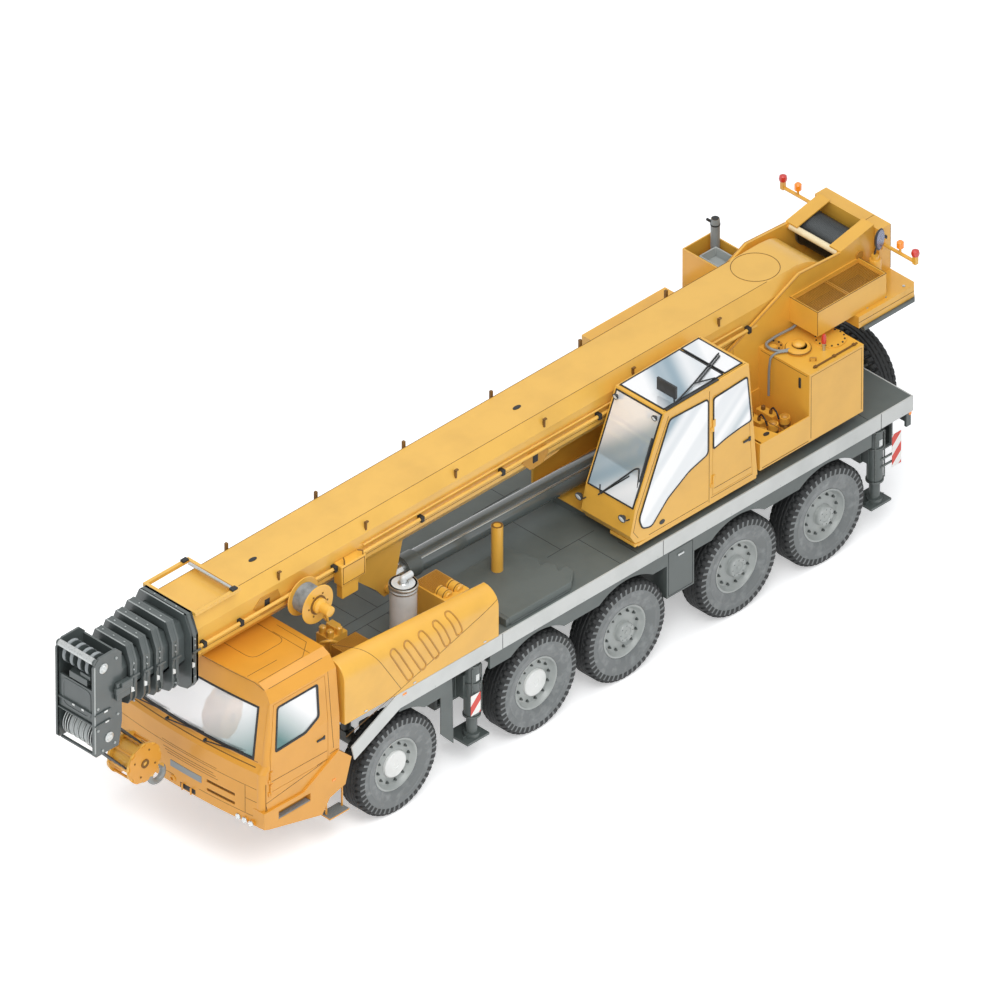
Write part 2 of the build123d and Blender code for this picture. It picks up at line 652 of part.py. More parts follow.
# Spare wheel at the rear
with BuildPart() as spare_wheel:
    plane = Plane(origin=(SPARE_X, SPARE_Y, SPARE_Z), x_dir=(0, 0, 1), z_dir=(0, 1, 0))
    with BuildSketch(plane):
        with BuildLine():
            Polyline(*TYRE_PROFILE, close=True)
        make_face()
    revolve(axis=Axis((SPARE_X, SPARE_Y, SPARE_Z), (1, 0, 0)))
    rod("x", SPARE_X, SPARE_Y, SPARE_Z, BEAD_RADIUS, 60)
save(spare_wheel.part, "spare_wheel")

# Superstructure
with BuildPart() as slew_ring:
    rod("z", SLEW_X, 0, (DECK_TOP + RING_TOP) / 2, RING_RADIUS, RING_TOP - DECK_TOP)
save(slew_ring.part, "slew_ring")

BAY_BOTTOM = SLAB_TOP + SEAT_GAP
SIDE_PLATE_OUTLINE = [
    (TURN_FRONT, TURN_BOTTOM), (TURN_FRONT, 2300), (-2100, 2350), (-4320, 3350), (-5650, 3950), (BAY_FRONT, BAY_LOW),
    (BAY_REAR, BAY_TOP), (BAY_REAR, BAY_BOTTOM), (BAY_FRONT, BAY_BOTTOM), (-5900, 2900), (-5150, 2800),
    (TURN_REAR, TURN_BOTTOM),
]
with BuildPart() as turntable:
    for side in SIDES.values():
        side_shape(SIDE_PLATE_OUTLINE, side * SIDE_PLATE_Y, side * PLATE_OUT)
    block(TURN_REAR, TURN_FRONT, -SIDE_PLATE_Y, SIDE_PLATE_Y, TURN_BOTTOM, TURN_BOTTOM + PLATE)
    block(BAY_REAR, BAY_FRONT, -SIDE_PLATE_Y, SIDE_PLATE_Y, BAY_BOTTOM, BAY_BOTTOM + 8)
    block(BAY_FRONT - 12, BAY_FRONT, -SIDE_PLATE_Y, SIDE_PLATE_Y, BAY_BOTTOM, 3420)
    # flanges along the top of the drum bay, and a bar that guides the rope
    for side in SIDES.values():
        side_shape([(BAY_REAR, BAY_TOP - 5), (BAY_FRONT - 20, BAY_LOW - 1), (BAY_FRONT - 20, BAY_LOW + 19),
                    (BAY_REAR, BAY_TOP + 15)], side * BAY_FLANGE_INNER, side * PLATE_OUT)
    rod("y", BAY_FRONT - 50, 0, BAY_LOW - 50, 45, 2 * SIDE_PLATE_Y)
    rod("z", SLEW_X, 0, (RING_TOP + SEAT_GAP + TURN_BOTTOM) / 2, RING_RADIUS, TURN_BOTTOM - RING_TOP - SEAT_GAP)
    rod("y", PIVOT_X, 0, PIVOT_Z, PIVOT_DIA / 2, 2 * PLATE_OUT)
    rod("y", CYL_BASE_X, 0, CYL_BASE_Z, CYL_PIN / 2, 2 * SIDE_PLATE_Y)
    rod("y", DRUM_X, 0, DRUM_Z, DRUM_SHAFT / 2, 2 * SIDE_PLATE_Y)
save(turntable.part, "turntable")

OP_OUTLINE = [
    (-3893, TURN_BOTTOM), (-3720, 3930), (-2150, 3910), (-1600, 2620), (-1510, 2240), (-1600, 2090), (-1800, TURN_BOTTOM),
]
OP_INSIDE = [
    (-3848, 2110), (-3678, 3880), (-2185, 3860), (-1645, 2605), (-1560, 2240), (-1630, 2130), (-1810, 2110),
]
OP_SIDE_WINDOW = [(-2930, 3740), (-2240, 3770), (-1690, 2500), (-1850, 2320), (-2350, 2660), (-2930, 2880)]
OP_DOOR_LEAN = OP_DOOR_TOP - 50
with BuildPart() as operator_cab:
    side_shape(OP_OUTLINE, OP_INNER, OP_SIDE)
    side_shape(OP_INSIDE, OP_INNER + OP_WALL, OP_SIDE - OP_WALL, Mode.SUBTRACT)
    # front, roof, rear and side windows
    side_shape([(-2300, 3800), (-2060, 3800), (-1560, 2640), (-1760, 2640)],
               OP_INNER + 80, OP_SIDE - 80, Mode.SUBTRACT)
    for x0, x1 in ((-3140, -2260), (-3620, -3200)):
        block(x0, x1, OP_INNER + 90, OP_SIDE - 90, 3800, 3980, Mode.SUBTRACT)
    block(-3900, -3700, OP_INNER + 110, OP_SIDE - 110, 3000, 3650, Mode.SUBTRACT)
    side_shape(OP_SIDE_WINDOW, OP_INNER - 10, OP_SIDE + 10, Mode.SUBTRACT, rounding=40)
    side_shape([(OP_DOOR_REAR, OP_DOOR_BOTTOM), (OP_DOOR_REAR + 110, OP_DOOR_LEAN), (OP_DOOR_FRONT, OP_DOOR_TOP),
                (OP_DOOR_FRONT, OP_DOOR_BOTTOM)], OP_SIDE - OP_WALL - 10, OP_SIDE + 10, Mode.SUBTRACT)
    for z in OP_HINGE_Z:
        hinge_leaf(OP_DOOR_FRONT - 3, OP_SIDE, 1, 1, z - 2 * HINGE_HALF - SEAT_GAP, z - HINGE_HALF - SEAT_GAP)
save(operator_cab.part, "operator_cab")

with BuildPart() as operator_door:
    side_shape([(OP_DOOR_REAR + 7, OP_DOOR_BOTTOM + DOOR_GAP), (OP_DOOR_REAR + 116, OP_DOOR_LEAN - 7),
                (OP_DOOR_FRONT - DOOR_GAP, OP_DOOR_TOP - 7), (OP_DOOR_FRONT - DOOR_GAP, OP_DOOR_BOTTOM + DOOR_GAP)],
               OP_SIDE - OP_WALL, OP_SIDE)
    side_shape([(-3715, 3040), (-3660, 3610), (-3130, 3655), (-3130, 2960)],
               OP_SIDE - OP_WALL - 10, OP_SIDE + 10, Mode.SUBTRACT, rounding=40)
    for z in OP_HINGE_Z:
        hinge_leaf(OP_DOOR_FRONT - 3, OP_SIDE, 1, -1, z - HINGE_HALF, z + HINGE_HALF)
save(operator_door.part, "operator_door")


def hood(x0, x1, y0, y1, z0, z1):
    """A closed box of plate, open underneath."""
    side = 1 if y1 > 0 else -1
    block(x0, x1, y0, y1, z0, z1)
    block(x0 + PLATE, x1 - PLATE, y0 + side * PLATE, y1 - side * PLATE, z0, z1 - PLATE, Mode.SUBTRACT)


def open_box(x0, x1, y0, y1, z0, z1):
    """A box of plate, open on top."""
    side = 1 if y1 > 0 else -1
    block(x0, x1, y0, y1, z0, z1)
    block(x0 + PLATE, x1 - PLATE, y0 + side * PLATE, y1 - side * PLATE, z0 + PLATE, z1, Mode.SUBTRACT)


with BuildPart() as machine_house:
    hood(HOUSE_REAR, HOUSE_FRONT, PLATE_OUT, HOUSE_SIDE, HOUSE_BOTTOM, HOUSE_TOP)
    rod("z", -5680, 1050, HOUSE_TOP + 10, 220, 20)
    rod("z", -5250, 930, HOUSE_TOP + 30, 110, 60)
    # tray of valves beside the turntable
    open_box(HOUSE_FRONT - PLATE, TRAY_FRONT, PLATE_OUT, HOUSE_SIDE, HOUSE_BOTTOM, TRAY_TOP)
    for valve_x in (-4700, -4480, -4260, -4080):
        rod("z", valve_x, 1180, HOUSE_BOTTOM + 200, 70, 360)
        block(valve_x - 60, valve_x + 60, 700, 1000, HOUSE_BOTTOM + PLATE, HOUSE_BOTTOM + 300)
    open_box(MESH_REAR, MESH_FRONT, PLATE_OUT + SEAT_GAP, MESH_SIDE, SLAB_TOP + SEAT_GAP, MESH_TOP)
save(machine_house.part, "machine_house")

with BuildPart() as right_hood:
    hood(HOOD_REAR, HOOD_FRONT, -PLATE_OUT, -HOUSE_SIDE, HOUSE_BOTTOM, HOOD_TOP)
    open_box(BIN_REAR, BIN_FRONT, -PLATE_OUT - SEAT_GAP, -BIN_SIDE, BIN_BOTTOM, BIN_TOP)
    rod("z", BIN_REAR + 110, 200 - BIN_SIDE, (BIN_BOTTOM + STACK_TOP) / 2, 55, STACK_TOP - BIN_BOTTOM)
save(right_hood.part, "right_hood")

with BuildPart() as counterweight:
    plan_shape([(SLAB_REAR, SLAB_CORNER - SLAB_HALF), (SLAB_REAR + SLAB_CORNER, -SLAB_HALF), (SLAB_FRONT, -SLAB_HALF),
                (SLAB_FRONT, -PLATE_OUT - 10), (BAY_FRONT - 5, -PLATE_OUT - 10), (BAY_FRONT - 5, PLATE_OUT + 10),
                (SLAB_FRONT, PLATE_OUT + 10), (SLAB_FRONT, SLAB_HALF), (SLAB_REAR + SLAB_CORNER, SLAB_HALF),
                (SLAB_REAR, SLAB_HALF - SLAB_CORNER)], SLAB_BOTTOM, SLAB_TOP)
    block(SLAB_REAR, WEIGHT_FRONT, -WEIGHT_HALF, WEIGHT_HALF, SLAB_TOP, WEIGHT_TOP)
save(counterweight.part, "counterweight")

with BuildPart() as winch_drum:
    rod("y", DRUM_X, 0, DRUM_Z, DRUM_RADIUS, 2 * DRUM_HALF)
    for side in SIDES.values():
        rod("y", DRUM_X, side * (DRUM_HALF + FLANGE_THICK / 2), DRUM_Z, FLANGE_RADIUS, FLANGE_THICK)
    rod("y", DRUM_X, 0, DRUM_Z, DRUM_SHAFT / 2 + PIN_GAP, 2 * (DRUM_HALF + FLANGE_THICK), Mode.SUBTRACT)
save(winch_drum.part, "winch_drum")


# Boom: nested tubes with rounded undersides, each with a collar seated round its front end.
def tube_outline(half_width, low, high):
    """Upper corners cut back, sides straight, underside drawn in towards a narrow flat."""
    tall = high - low
    return [
        (-half_width, high - tall * 0.24), (-half_width * 0.78, high), (half_width * 0.78, high),
        (half_width, high - tall * 0.24), (half_width, low + tall * 0.3), (half_width * 0.66, low + tall * 0.08),
        (half_width * 0.3, low), (-half_width * 0.3, low),
        (-half_width * 0.66, low + tall * 0.08), (-half_width, low + tall * 0.3),
    ]


def tube(x0, x1, half_width, low, high, mode=Mode.ADD):
    """A length of boom tube filled or cut along X."""
    cross_shape(tube_outline(half_width, low, high), x0, x1, mode)


def collar_ring(s, half_width, low, high):
    """The collar round the front end of a tube, a piece of its own."""
    with BuildPart() as ring:
        tube(s["front"] - COLLAR_LENGTH, s["front"], s["collar"], s["low"], s["high"])
        tube(s["front"] - COLLAR_LENGTH, s["front"], half_width + SEAT_GAP, low - SEAT_GAP, high + SEAT_GAP,
             Mode.SUBTRACT)
    return ring.part


for index, s in enumerate(SECTIONS):
    half_width = BOOM_HALF_WIDTH - index * BOOM_STEP
    low = BOOM_Z - BOOM_HALF_HEIGHT + index * BOOM_STEP
    high = BOOM_Z + BOOM_HALF_HEIGHT - index * BOOM_STEP
    bore_rear = PIVOT_X + BOOM_TAIL_RADIUS if index == 0 else s["rear"]
    with BuildPart() as section:
        tube(s["rear"], s["front"], half_width, low, high)
        tube(bore_rear, s["front"], half_width - BOOM_WALL, low + BOOM_WALL, high - BOOM_WALL, Mode.SUBTRACT)
        if s["collar"]:
            # wear pads that carry the next tube in the mouth and behind it
            for pad_x in (s["front"] - 60, s["front"] - PAD_SPREAD):
                for z0, z1 in ((low + BOOM_WALL, low + BOOM_STEP - SEAT_GAP),
                               (high - BOOM_STEP + SEAT_GAP, high - BOOM_WALL)):
                    block(pad_x - PAD_HALF, pad_x + PAD_HALF, -60, 60, z0, z1)
        if index == 0:
            # the tail is rounded about the boom's pivot
            with BuildSketch(Plane.XZ.offset(-600)) as tail:
                with Locations((PIVOT_X - 1000, PIVOT_Z)):
                    Rectangle(2000, 3000)
                with Locations((PIVOT_X, PIVOT_Z)):
                    Circle(BOOM_TAIL_RADIUS, mode=Mode.SUBTRACT)
            extrude(tail.sketch, amount=1200, mode=Mode.SUBTRACT)
            rod("y", PIVOT_X, 0, PIVOT_Z, PIVOT_DIA / 2 + PIN_GAP, 1200, Mode.SUBTRACT)
            for side in SIDES.values():
                inner = side * CYL_LUG_GAP
                side_shape([(CYL_EYE_X - 130, CYL_EYE_Z), (CYL_EYE_X - 60, CYL_EYE_Z - 110),
                            (CYL_EYE_X + 60, CYL_EYE_Z - 110), (CYL_EYE_X + 200, CYL_EYE_Z + 60),
                            (CYL_EYE_X + 900, low + 25), (CYL_EYE_X - 300, low + 25)],
                           inner, inner + side * LUG_THICK)
                rod("y", CYL_EYE_X, inner + side * (LUG_THICK + 15), CYL_EYE_Z, CYL_PIN / 2, 30)
                # guard frame over the front of the boom
                block(GUARD_REAR, GUARD_FRONT, side * (GUARD_HALF - GUARD_BAR), side * GUARD_HALF,
                      GUARD_TOP - GUARD_BAR, GUARD_TOP)
            for bar_x in (GUARD_REAR, GUARD_FRONT - GUARD_BAR):
                block(bar_x, bar_x + GUARD_BAR, -GUARD_HALF, GUARD_HALF, GUARD_TOP - GUARD_BAR, GUARD_TOP)
                for side in SIDES.values():
                    block(bar_x, bar_x + GUARD_BAR, side * 280, side * 330, high - 5, GUARD_TOP - GUARD_BAR)
        if s["collar"]:
            add(collar_ring(s, half_width, low, high))
    save(section.part, "boom_base" if index == 0 else f"boom_section_{index}")

# Boom head on the innermost tube, with its upper and lower sheaves
with BuildPart() as boom_head:
    last = SECTIONS[-1]["front"] + SEAT_GAP
    for side in SIDES.values():
        side_shape([(last, 2900), (last + 60, HEAD_BOTTOM), (HEAD_FRONT - 40, HEAD_BOTTOM),
                    (HEAD_FRONT, HEAD_BOTTOM + 40), (HEAD_FRONT, HEAD_TOP - 110), (HEAD_FRONT - 110, HEAD_TOP),
                    (last + 90, HEAD_TOP), (last, HEAD_TOP - 90)],
                   side * (HEAD_HALF - HEAD_PLATE), side * HEAD_HALF)
    block(last, last + 30, -HEAD_HALF, HEAD_HALF, 3030, 3980)
    block(HEAD_FRONT - 70, HEAD_FRONT - 40, -HEAD_HALF, HEAD_HALF, 3060, 3570)
    rod("y", HEAD_FRONT - 55, 0, HEAD_TOP - 50, 45, 2 * HEAD_HALF - 10)
    rod("y", HEAD_SHEAVE_X, 0, HEAD_SHEAVE_Z, 45, 2 * HEAD_HALF)
    rod("y", HOOK_PIN_X, 0, HOOK_PIN_Z, 45, 2 * HEAD_HALF)
    for y in (-210, -70, 70, 210):
        rod("y", HEAD_SHEAVE_X, y, HEAD_SHEAVE_Z, HEAD_SHEAVE_RADIUS - 15, 60)
save(boom_head.part, "boom_head")

# Lift cylinder
REACH = math.hypot(CYL_EYE_X - CYL_BASE_X, CYL_EYE_Z - CYL_BASE_Z)
CYL_PLANE = Plane(origin=(CYL_BASE_X, 0, CYL_BASE_Z), x_dir=(0, 1, 0),
                  z_dir=(CYL_EYE_X - CYL_BASE_X, 0, CYL_EYE_Z - CYL_BASE_Z))


def round_along(start, length, radius, mode=Mode.ADD):
    """A round length on the cylinder's own line, from its base."""
    with BuildSketch(CYL_PLANE.offset(start)) as disc:
        Circle(radius)
    extrude(disc.sketch, amount=length, mode=mode)


with BuildPart() as lift_barrel:
    round_along(160, CYL_BARREL_END - 160, CYL_DIA / 2)
    rod("y", CYL_BASE_X, 0, CYL_BASE_Z, 135, 260)
    with BuildSketch(CYL_PLANE) as neck:
        Rectangle(200, 220)
    extrude(neck.sketch, amount=160)
    round_along(CYL_BORE_START, CYL_BARREL_END, CYL_ROD / 2 + PIN_GAP, Mode.SUBTRACT)
    rod("y", CYL_BASE_X, 0, CYL_BASE_Z, CYL_PIN / 2 + PIN_GAP, 400, Mode.SUBTRACT)
save(lift_barrel.part, "lift_cylinder_barrel")

with BuildPart() as lift_rod:
    round_along(CYL_BORE_START + 20, REACH - CYL_BORE_START - 80, CYL_ROD / 2)
    rod("y", CYL_EYE_X, 0, CYL_EYE_Z, 120, 2 * CYL_LUG_GAP - 20)
    rod("y", CYL_EYE_X, 0, CYL_EYE_Z, CYL_PIN / 2, 400, Mode.SUBTRACT)
save(lift_rod.part, "lift_cylinder_rod")

# Hook block on its ropes
HANG = Vector(BLOCK_X - HOOK_PIN_X, 0, BLOCK_Z - HOOK_PIN_Z)
HANG_LENGTH = HANG.length
ROPE_PLANE = Plane(origin=(HOOK_PIN_X, 0, HOOK_PIN_Z), x_dir=(0, 1, 0), z_dir=HANG)
with BuildPart() as hook_block:
    for y in ROPE_ROWS:
        rod("y", HOOK_PIN_X, y, HOOK_PIN_Z, PIN_SHEAVE, 50)
        for swing in (-PIN_SHEAVE + 20, PIN_SHEAVE - 20):
            with BuildSketch(ROPE_PLANE) as rope:
                with Locations((y, swing)):
                    Circle(ROPE_DIA / 2)
            extrude(rope.sketch, amount=HANG_LENGTH)
    rod("y", HOOK_PIN_X, 0, HOOK_PIN_Z, 80, 320)
    rod("y", HOOK_PIN_X, 0, HOOK_PIN_Z, 45 + PIN_GAP, 400, Mode.SUBTRACT)
    rod("y", BLOCK_X, 0, BLOCK_Z, BLOCK_SHEAVE, 330)
    for side in SIDES.values():
        rod("y", BLOCK_X, side * 180, BLOCK_Z, BLOCK_RADIUS, 24)
    rod("y", BLOCK_X, 0, BLOCK_Z, 40, 420)
    with BuildSketch(ROPE_PLANE.offset(HANG_LENGTH + 200)) as yoke:
        Rectangle(300, 160)
    extrude(yoke.sketch, amount=180)
    with BuildSketch(ROPE_PLANE.offset(HANG_LENGTH + 380)) as shank:
        Circle(45)
    extrude(shank.sketch, amount=120)
    down = HANG.normalized()
    centre = Vector(HOOK_PIN_X, 0, HOOK_PIN_Z) + down * (HANG_LENGTH + 620)
    with BuildLine(Plane(origin=centre, x_dir=down, z_dir=(0, 1, 0))):
        arc = CenterArc((0, 0), 120, 180, 270)
    with BuildSketch(Plane(origin=arc @ 0, z_dir=arc % 0)) as bar:
        Circle(42)
    sweep(bar.sketch, path=arc)
save(hook_block.part, "hook_block")
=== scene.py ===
"""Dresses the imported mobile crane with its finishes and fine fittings, and sets the studio round it.

Metres throughout: +X forward, +Y left, +Z up, with the ground at zero.
"""
import math

import bmesh
import bpy
import numpy as np
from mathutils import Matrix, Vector


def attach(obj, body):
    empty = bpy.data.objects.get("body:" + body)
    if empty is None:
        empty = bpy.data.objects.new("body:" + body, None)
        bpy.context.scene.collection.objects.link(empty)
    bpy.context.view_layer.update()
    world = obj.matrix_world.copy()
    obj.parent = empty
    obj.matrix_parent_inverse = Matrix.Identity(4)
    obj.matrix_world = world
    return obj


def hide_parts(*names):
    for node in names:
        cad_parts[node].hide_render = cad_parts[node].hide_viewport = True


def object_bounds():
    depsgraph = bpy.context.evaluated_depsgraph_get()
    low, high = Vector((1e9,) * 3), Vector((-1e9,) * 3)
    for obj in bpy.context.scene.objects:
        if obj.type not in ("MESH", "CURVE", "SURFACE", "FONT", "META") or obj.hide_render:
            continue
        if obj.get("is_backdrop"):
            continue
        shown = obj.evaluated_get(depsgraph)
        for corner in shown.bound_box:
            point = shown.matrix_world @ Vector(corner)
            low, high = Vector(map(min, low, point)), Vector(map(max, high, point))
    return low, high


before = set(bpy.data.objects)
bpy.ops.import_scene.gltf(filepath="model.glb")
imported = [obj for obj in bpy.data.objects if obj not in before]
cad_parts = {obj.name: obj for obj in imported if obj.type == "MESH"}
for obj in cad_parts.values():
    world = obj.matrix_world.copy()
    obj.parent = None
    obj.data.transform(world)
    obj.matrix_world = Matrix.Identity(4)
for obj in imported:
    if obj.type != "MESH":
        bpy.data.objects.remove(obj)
cad_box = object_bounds()

# Viewpoint: a parallel-looking view along the cube's diagonal, with a scale at its target
VIEW_TARGET = Vector((-1.135, -0.578, 2.0))
VIEW_BACK = Vector((1.0, 1.0, 1.0)).normalized()
LENS = 1200.0
SENSOR = 36.0
PIXELS_PER_METRE = 75.8
PICTURE = 1000.0
NEAR = 1.0
FAR = 2000.0


def linear(code):
    """Turns an sRGB hex colour into linear values with a full alpha."""
    parts = [int(code[i:i + 2], 16) / 255 for i in (0, 2, 4)]
    return tuple(c / 12.92 if c <= 0.04045 else ((c + 0.055) / 1.055) ** 2.4 for c in parts) + (1.0,)


def add(tree, kind, links=(), **settings):
    """Adds one node, sets its sockets and properties by name, and links other outputs into it."""
    node = tree.nodes.new(kind)
    for key, value in settings.items():
        if hasattr(node, key):
            setattr(node, key, value)
        else:
            node.inputs[key.replace("_", " ")].default_value = value
    for source, socket in links:
        tree.links.new(source, node.inputs[socket])
    return node


def new_material(name, **look):
    """A node material of one surface shader, with its sockets set by name, and its output."""
    material = bpy.data.materials.new(name)
    material.use_nodes = True
    tree = material.node_tree
    tree.nodes.clear()
    shader = add(tree, "ShaderNodeBsdfPrincipled", **look)
    add(tree, "ShaderNodeOutputMaterial", [(shader.outputs[0], "Surface")])
    return material, tree, shader


def lumps(tree, size, detail):
    """A pattern of soft lumps about a size in metres across, on the piece's own place."""
    place = add(tree, "ShaderNodeTexCoord")
    noise = add(tree, "ShaderNodeTexNoise", [(place.outputs["Object"], "Vector")], Scale=1 / size, Detail=detail)
    return noise.outputs["Fac"]


def two_tone(tree, shader, pattern, levels, tones):
    """Colours the surface from the first tone to the second as a pattern goes from one level to the other."""
    spread = add(tree, "ShaderNodeMapRange", [(pattern, "Value")], From_Min=levels[0], From_Max=levels[1])
    mix = add(tree, "ShaderNodeMix", [(spread.outputs[0], 0)], data_type="RGBA")
    # a colour mix has its two colours on sockets 6 and 7, and its result on output 2
    mix.inputs[6].default_value, mix.inputs[7].default_value = map(linear, tones)
    tree.links.new(mix.outputs[2], shader.inputs["Base Color"])


def worn(name, tones, patches, levels, skin, **look):
    """Two tones in soft patches under a fine raised skin.

    Patches are a size and detail of lumps; the skin is a size and detail, then a height in metres and a strength.
    """
    material, tree, shader = new_material(name, **look)
    two_tone(tree, shader, lumps(tree, *patches), levels, tones)
    size, detail, height, strength = skin
    bump = add(tree, "ShaderNodeBump", [(lumps(tree, size, detail), "Height")], Distance=height, Strength=strength)
    tree.links.new(bump.outputs[0], shader.inputs["Normal"])
    return material


def enamel(name, tone, dusty, roughness=0.35, coat=0.25):
    """Sprayed enamel on plate: large soft changes of tone, dust in patches and a faint orange peel."""
    # orange peel is 2 mm across on the real paint, drawn at 9 mm so that it shows
    return worn(name, (tone, dusty), (0.45, 5), (0.42, 0.78), (0.009, 2, 0.0004, 0.35),
                Roughness=roughness, Coat_Weight=coat, Coat_Roughness=0.12)


def bare_metal(name, tone, dark, roughness, size=0.02):
    """Bare or plated metal: the colour of the metal with darker handling marks and fine scratches."""
    return worn(name, (tone, dark), (size, 4), (0.45, 0.8), (0.004, 3, 0.0002, 0.4),
                Metallic=0.85, Roughness=roughness)


def moulded(name, tone, greyed, roughness, size=0.012):
    """Moulded rubber or plastic: an even body colour, greyed where it is handled, with a fine skin."""
    return worn(name, (tone, greyed), (0.12, 4), (0.48, 0.8), (size, 3, 0.0006, 0.5), Roughness=roughness)


def along_line(tree, way):
    """The distance along a direction, on the piece's own place."""
    place = add(tree, "ShaderNodeTexCoord")
    along = add(tree, "ShaderNodeVectorMath", [(place.outputs["Object"], 0)], operation="DOT_PRODUCT")
    along.inputs[1].default_value = way
    return along.outputs["Value"]


def safety_glass(name, pale, deep, way, levels, clear):
    """Toughened glass with a painted sky reflection: its colour goes from pale to deep along a direction, between two
    distances along it.
    """
    material, tree, shader = new_material(name, Transmission_Weight=clear, Metallic=0.15, Roughness=0.04, IOR=1.45)
    two_tone(tree, shader, along_line(tree, way), levels, (pale, deep))
    return material


def sky_glass(name, pale, deep, way, pitch):
    """Bonded cab glass backed by its shade, with a painted sky reflection in broad slanted streaks a pitch in metres
    apart.
    """
    material, tree, shader = new_material(name, Transmission_Weight=0.15, Metallic=0.2, Roughness=0.05, IOR=1.45)
    line = add(tree, "ShaderNodeCombineXYZ", [(along_line(tree, way), 0)])
    streaks = add(tree, "ShaderNodeTexNoise", [(line.outputs[0], "Vector")], Scale=2 / pitch, Detail=1.5)
    two_tone(tree, shader, streaks.outputs["Fac"], (0.46, 0.68), (pale, deep))
    return material


def lens(name, colour, glow=0.0):
    """A ribbed lamp lens of clear or coloured plastic."""
    tint = linear(colour)
    material, tree, shader = new_material(name, Base_Color=tint, Roughness=0.12, Coat_Weight=0.6)
    if glow:
        shader.inputs["Emission Color"].default_value = tint
        shader.inputs["Emission Strength"].default_value = glow
    # lens ribs are 6 mm apart, drawn at 12 mm so that they show
    place = add(tree, "ShaderNodeTexCoord")
    ribs = add(tree, "ShaderNodeTexWave", [(place.outputs["Object"], "Vector")], Scale=1 / 0.024, bands_direction="Z")
    bump = add(tree, "ShaderNodeBump", [(ribs.outputs["Fac"], "Height")], Distance=0.001, Strength=0.6)
    tree.links.new(bump.outputs[0], shader.inputs["Normal"])
    return material


def barred(name, first, second, pitch, turn):
    """Warning boards: two colours in slanted bars of a pitch in metres, painted on plate."""
    material, tree, shader = new_material(name, Roughness=0.4)
    place = add(tree, "ShaderNodeTexCoord")
    slope = add(tree, "ShaderNodeMapping", [(place.outputs["Object"], "Vector")], Rotation=turn)
    # a wave of scale one repeats after a tenth of two pi
    wave = add(tree, "ShaderNodeTexWave", [(slope.outputs[0], "Vector")], Scale=math.pi / 5 / pitch,
               bands_direction="X")
    two_tone(tree, shader, wave.outputs["Fac"], (0.47, 0.53), (first, second))
    bump = add(tree, "ShaderNodeBump", [(lumps(tree, 0.009, 2), "Height")], Distance=0.0003, Strength=0.3)
    tree.links.new(bump.outputs[0], shader.inputs["Normal"])
    return material


# Finishes, each named for the real one, and the record's material slot behind each
# painted reflection: the pale and deep tones of sky reflected in the carrier cab's windscreen and door panes
SKY_REFLECTION_TONES = ("FFFFFF", "5E8A88")
BOOM_YELLOW = enamel("boom_enamel", "E6B450", "DCAB4B")
CAB_ORANGE = enamel("cab_enamel", "DF9D36", "D69632", 0.35, 0.15)
HOUSE_YELLOW = enamel("house_enamel", "E9B246", "DEA842")
DARK_GREY = enamel("frame_enamel", "59605E", "4E5553", 0.45, 0.15)
DECK_GREY = enamel("deck_enamel", "5F6663", "555C59", 0.6, 0.05)
BOOM_GREY = enamel("section_enamel", "505756", "464D4C", 0.35, 0.3)
BARREL_GREY = enamel("cylinder_enamel", "5C6464", "4E5656", 0.25, 0.6)
SILVER = enamel("band_enamel", "CBCDCA", "BCBFBC", 0.3, 0.3)
RIM_GREY = enamel("rim_enamel", "A9ADAA", "8F9492", 0.4, 0.2)
CAP_WHITE = enamel("cap_enamel", "E6E7E4", "D5D7D3", 0.35, 0.2)
ALUMINISED = enamel("aluminised_steel", "D6D9D9", "B7BCBC", 0.18, 0.6)
# painted shade: a dark brown-orange, a shaded copy of the yellow and orange paint, for the shade in seams, creases,
# gaps and slots; some small fittings take the same tone
SHADE_BROWN = enamel("shade_brown_enamel", "7A5520", "6B4A1C", 0.6, 0.0)
# a darker yellow; round the louvres on the engine covers it is painted shade
OCHRE = enamel("ochre_enamel", "C08A33", "A9782B", 0.45, 0.1)
BOARD_GREY = enamel("plate_enamel", "8A9091", "7D8384", 0.4, 0.1)
# a light grey; on the collars' top front edges it is painted highlight
EDGE_GREY = enamel("edge_highlight_enamel", "A8ADAB", "959A98", 0.35, 0.2)
CREAM = enamel("roller_enamel", "EFDFB8", "E2CFA2", 0.4, 0.1)
HOOK_GREY = enamel("hook_enamel", "8E9494", "787E7E", 0.35, 0.2)
CHROME = bare_metal("chrome_plate", "D9DBDA", "B4B8B7", 0.16)
STEEL = bare_metal("machined_steel", "C6C9C8", "9EA3A2", 0.3)
CAST = bare_metal("cast_iron", "6C716F", "4A4E4D", 0.55)
ROPE_STEEL = bare_metal("rope_wire", "8E918F", "5A5D5C", 0.4, 0.01)
ROPE_DARK = bare_metal("greased_rope", "4A4D4E", "2C2E2F", 0.45, 0.01)
RUBBER = moulded("tyre_rubber", "1B1D1E", "2A2C2C", 0.65)
# painted sheen: the sidewall rubber is drawn in lighter greys that stand for its highlight
TYRE_SIDEWALL_SHEEN = moulded("tyre_sidewall_sheen", "6C7070", "858989", 0.26)
SEAL = moulded("seal_rubber", "1C1E1F", "2A2C2D", 0.6)
PLASTIC = moulded("black_plastic", "26292A", "36393A", 0.5)
SEAT_CLOTH = moulded("seat_cloth", "3C4247", "4A5157", 0.9, 0.006)
CABLE_GREY = moulded("cable_sheath", "8A8E8E", "5C6060", 0.4)
SCREEN_GLASS = safety_glass("screen_glass", *SKY_REFLECTION_TONES, (0.0, 0.55, -0.83), (-1.65, -0.90), 0.1)
DOOR_PANE = safety_glass("door_glass", *SKY_REFLECTION_TONES, (-0.75, 0.0, 0.66), (-1.75, -2.25), 0.25)
SIDE_GLASS = sky_glass("side_glass", "FFFFFF", "8AA5B3", (0.62, -0.35, 0.70), 0.9)
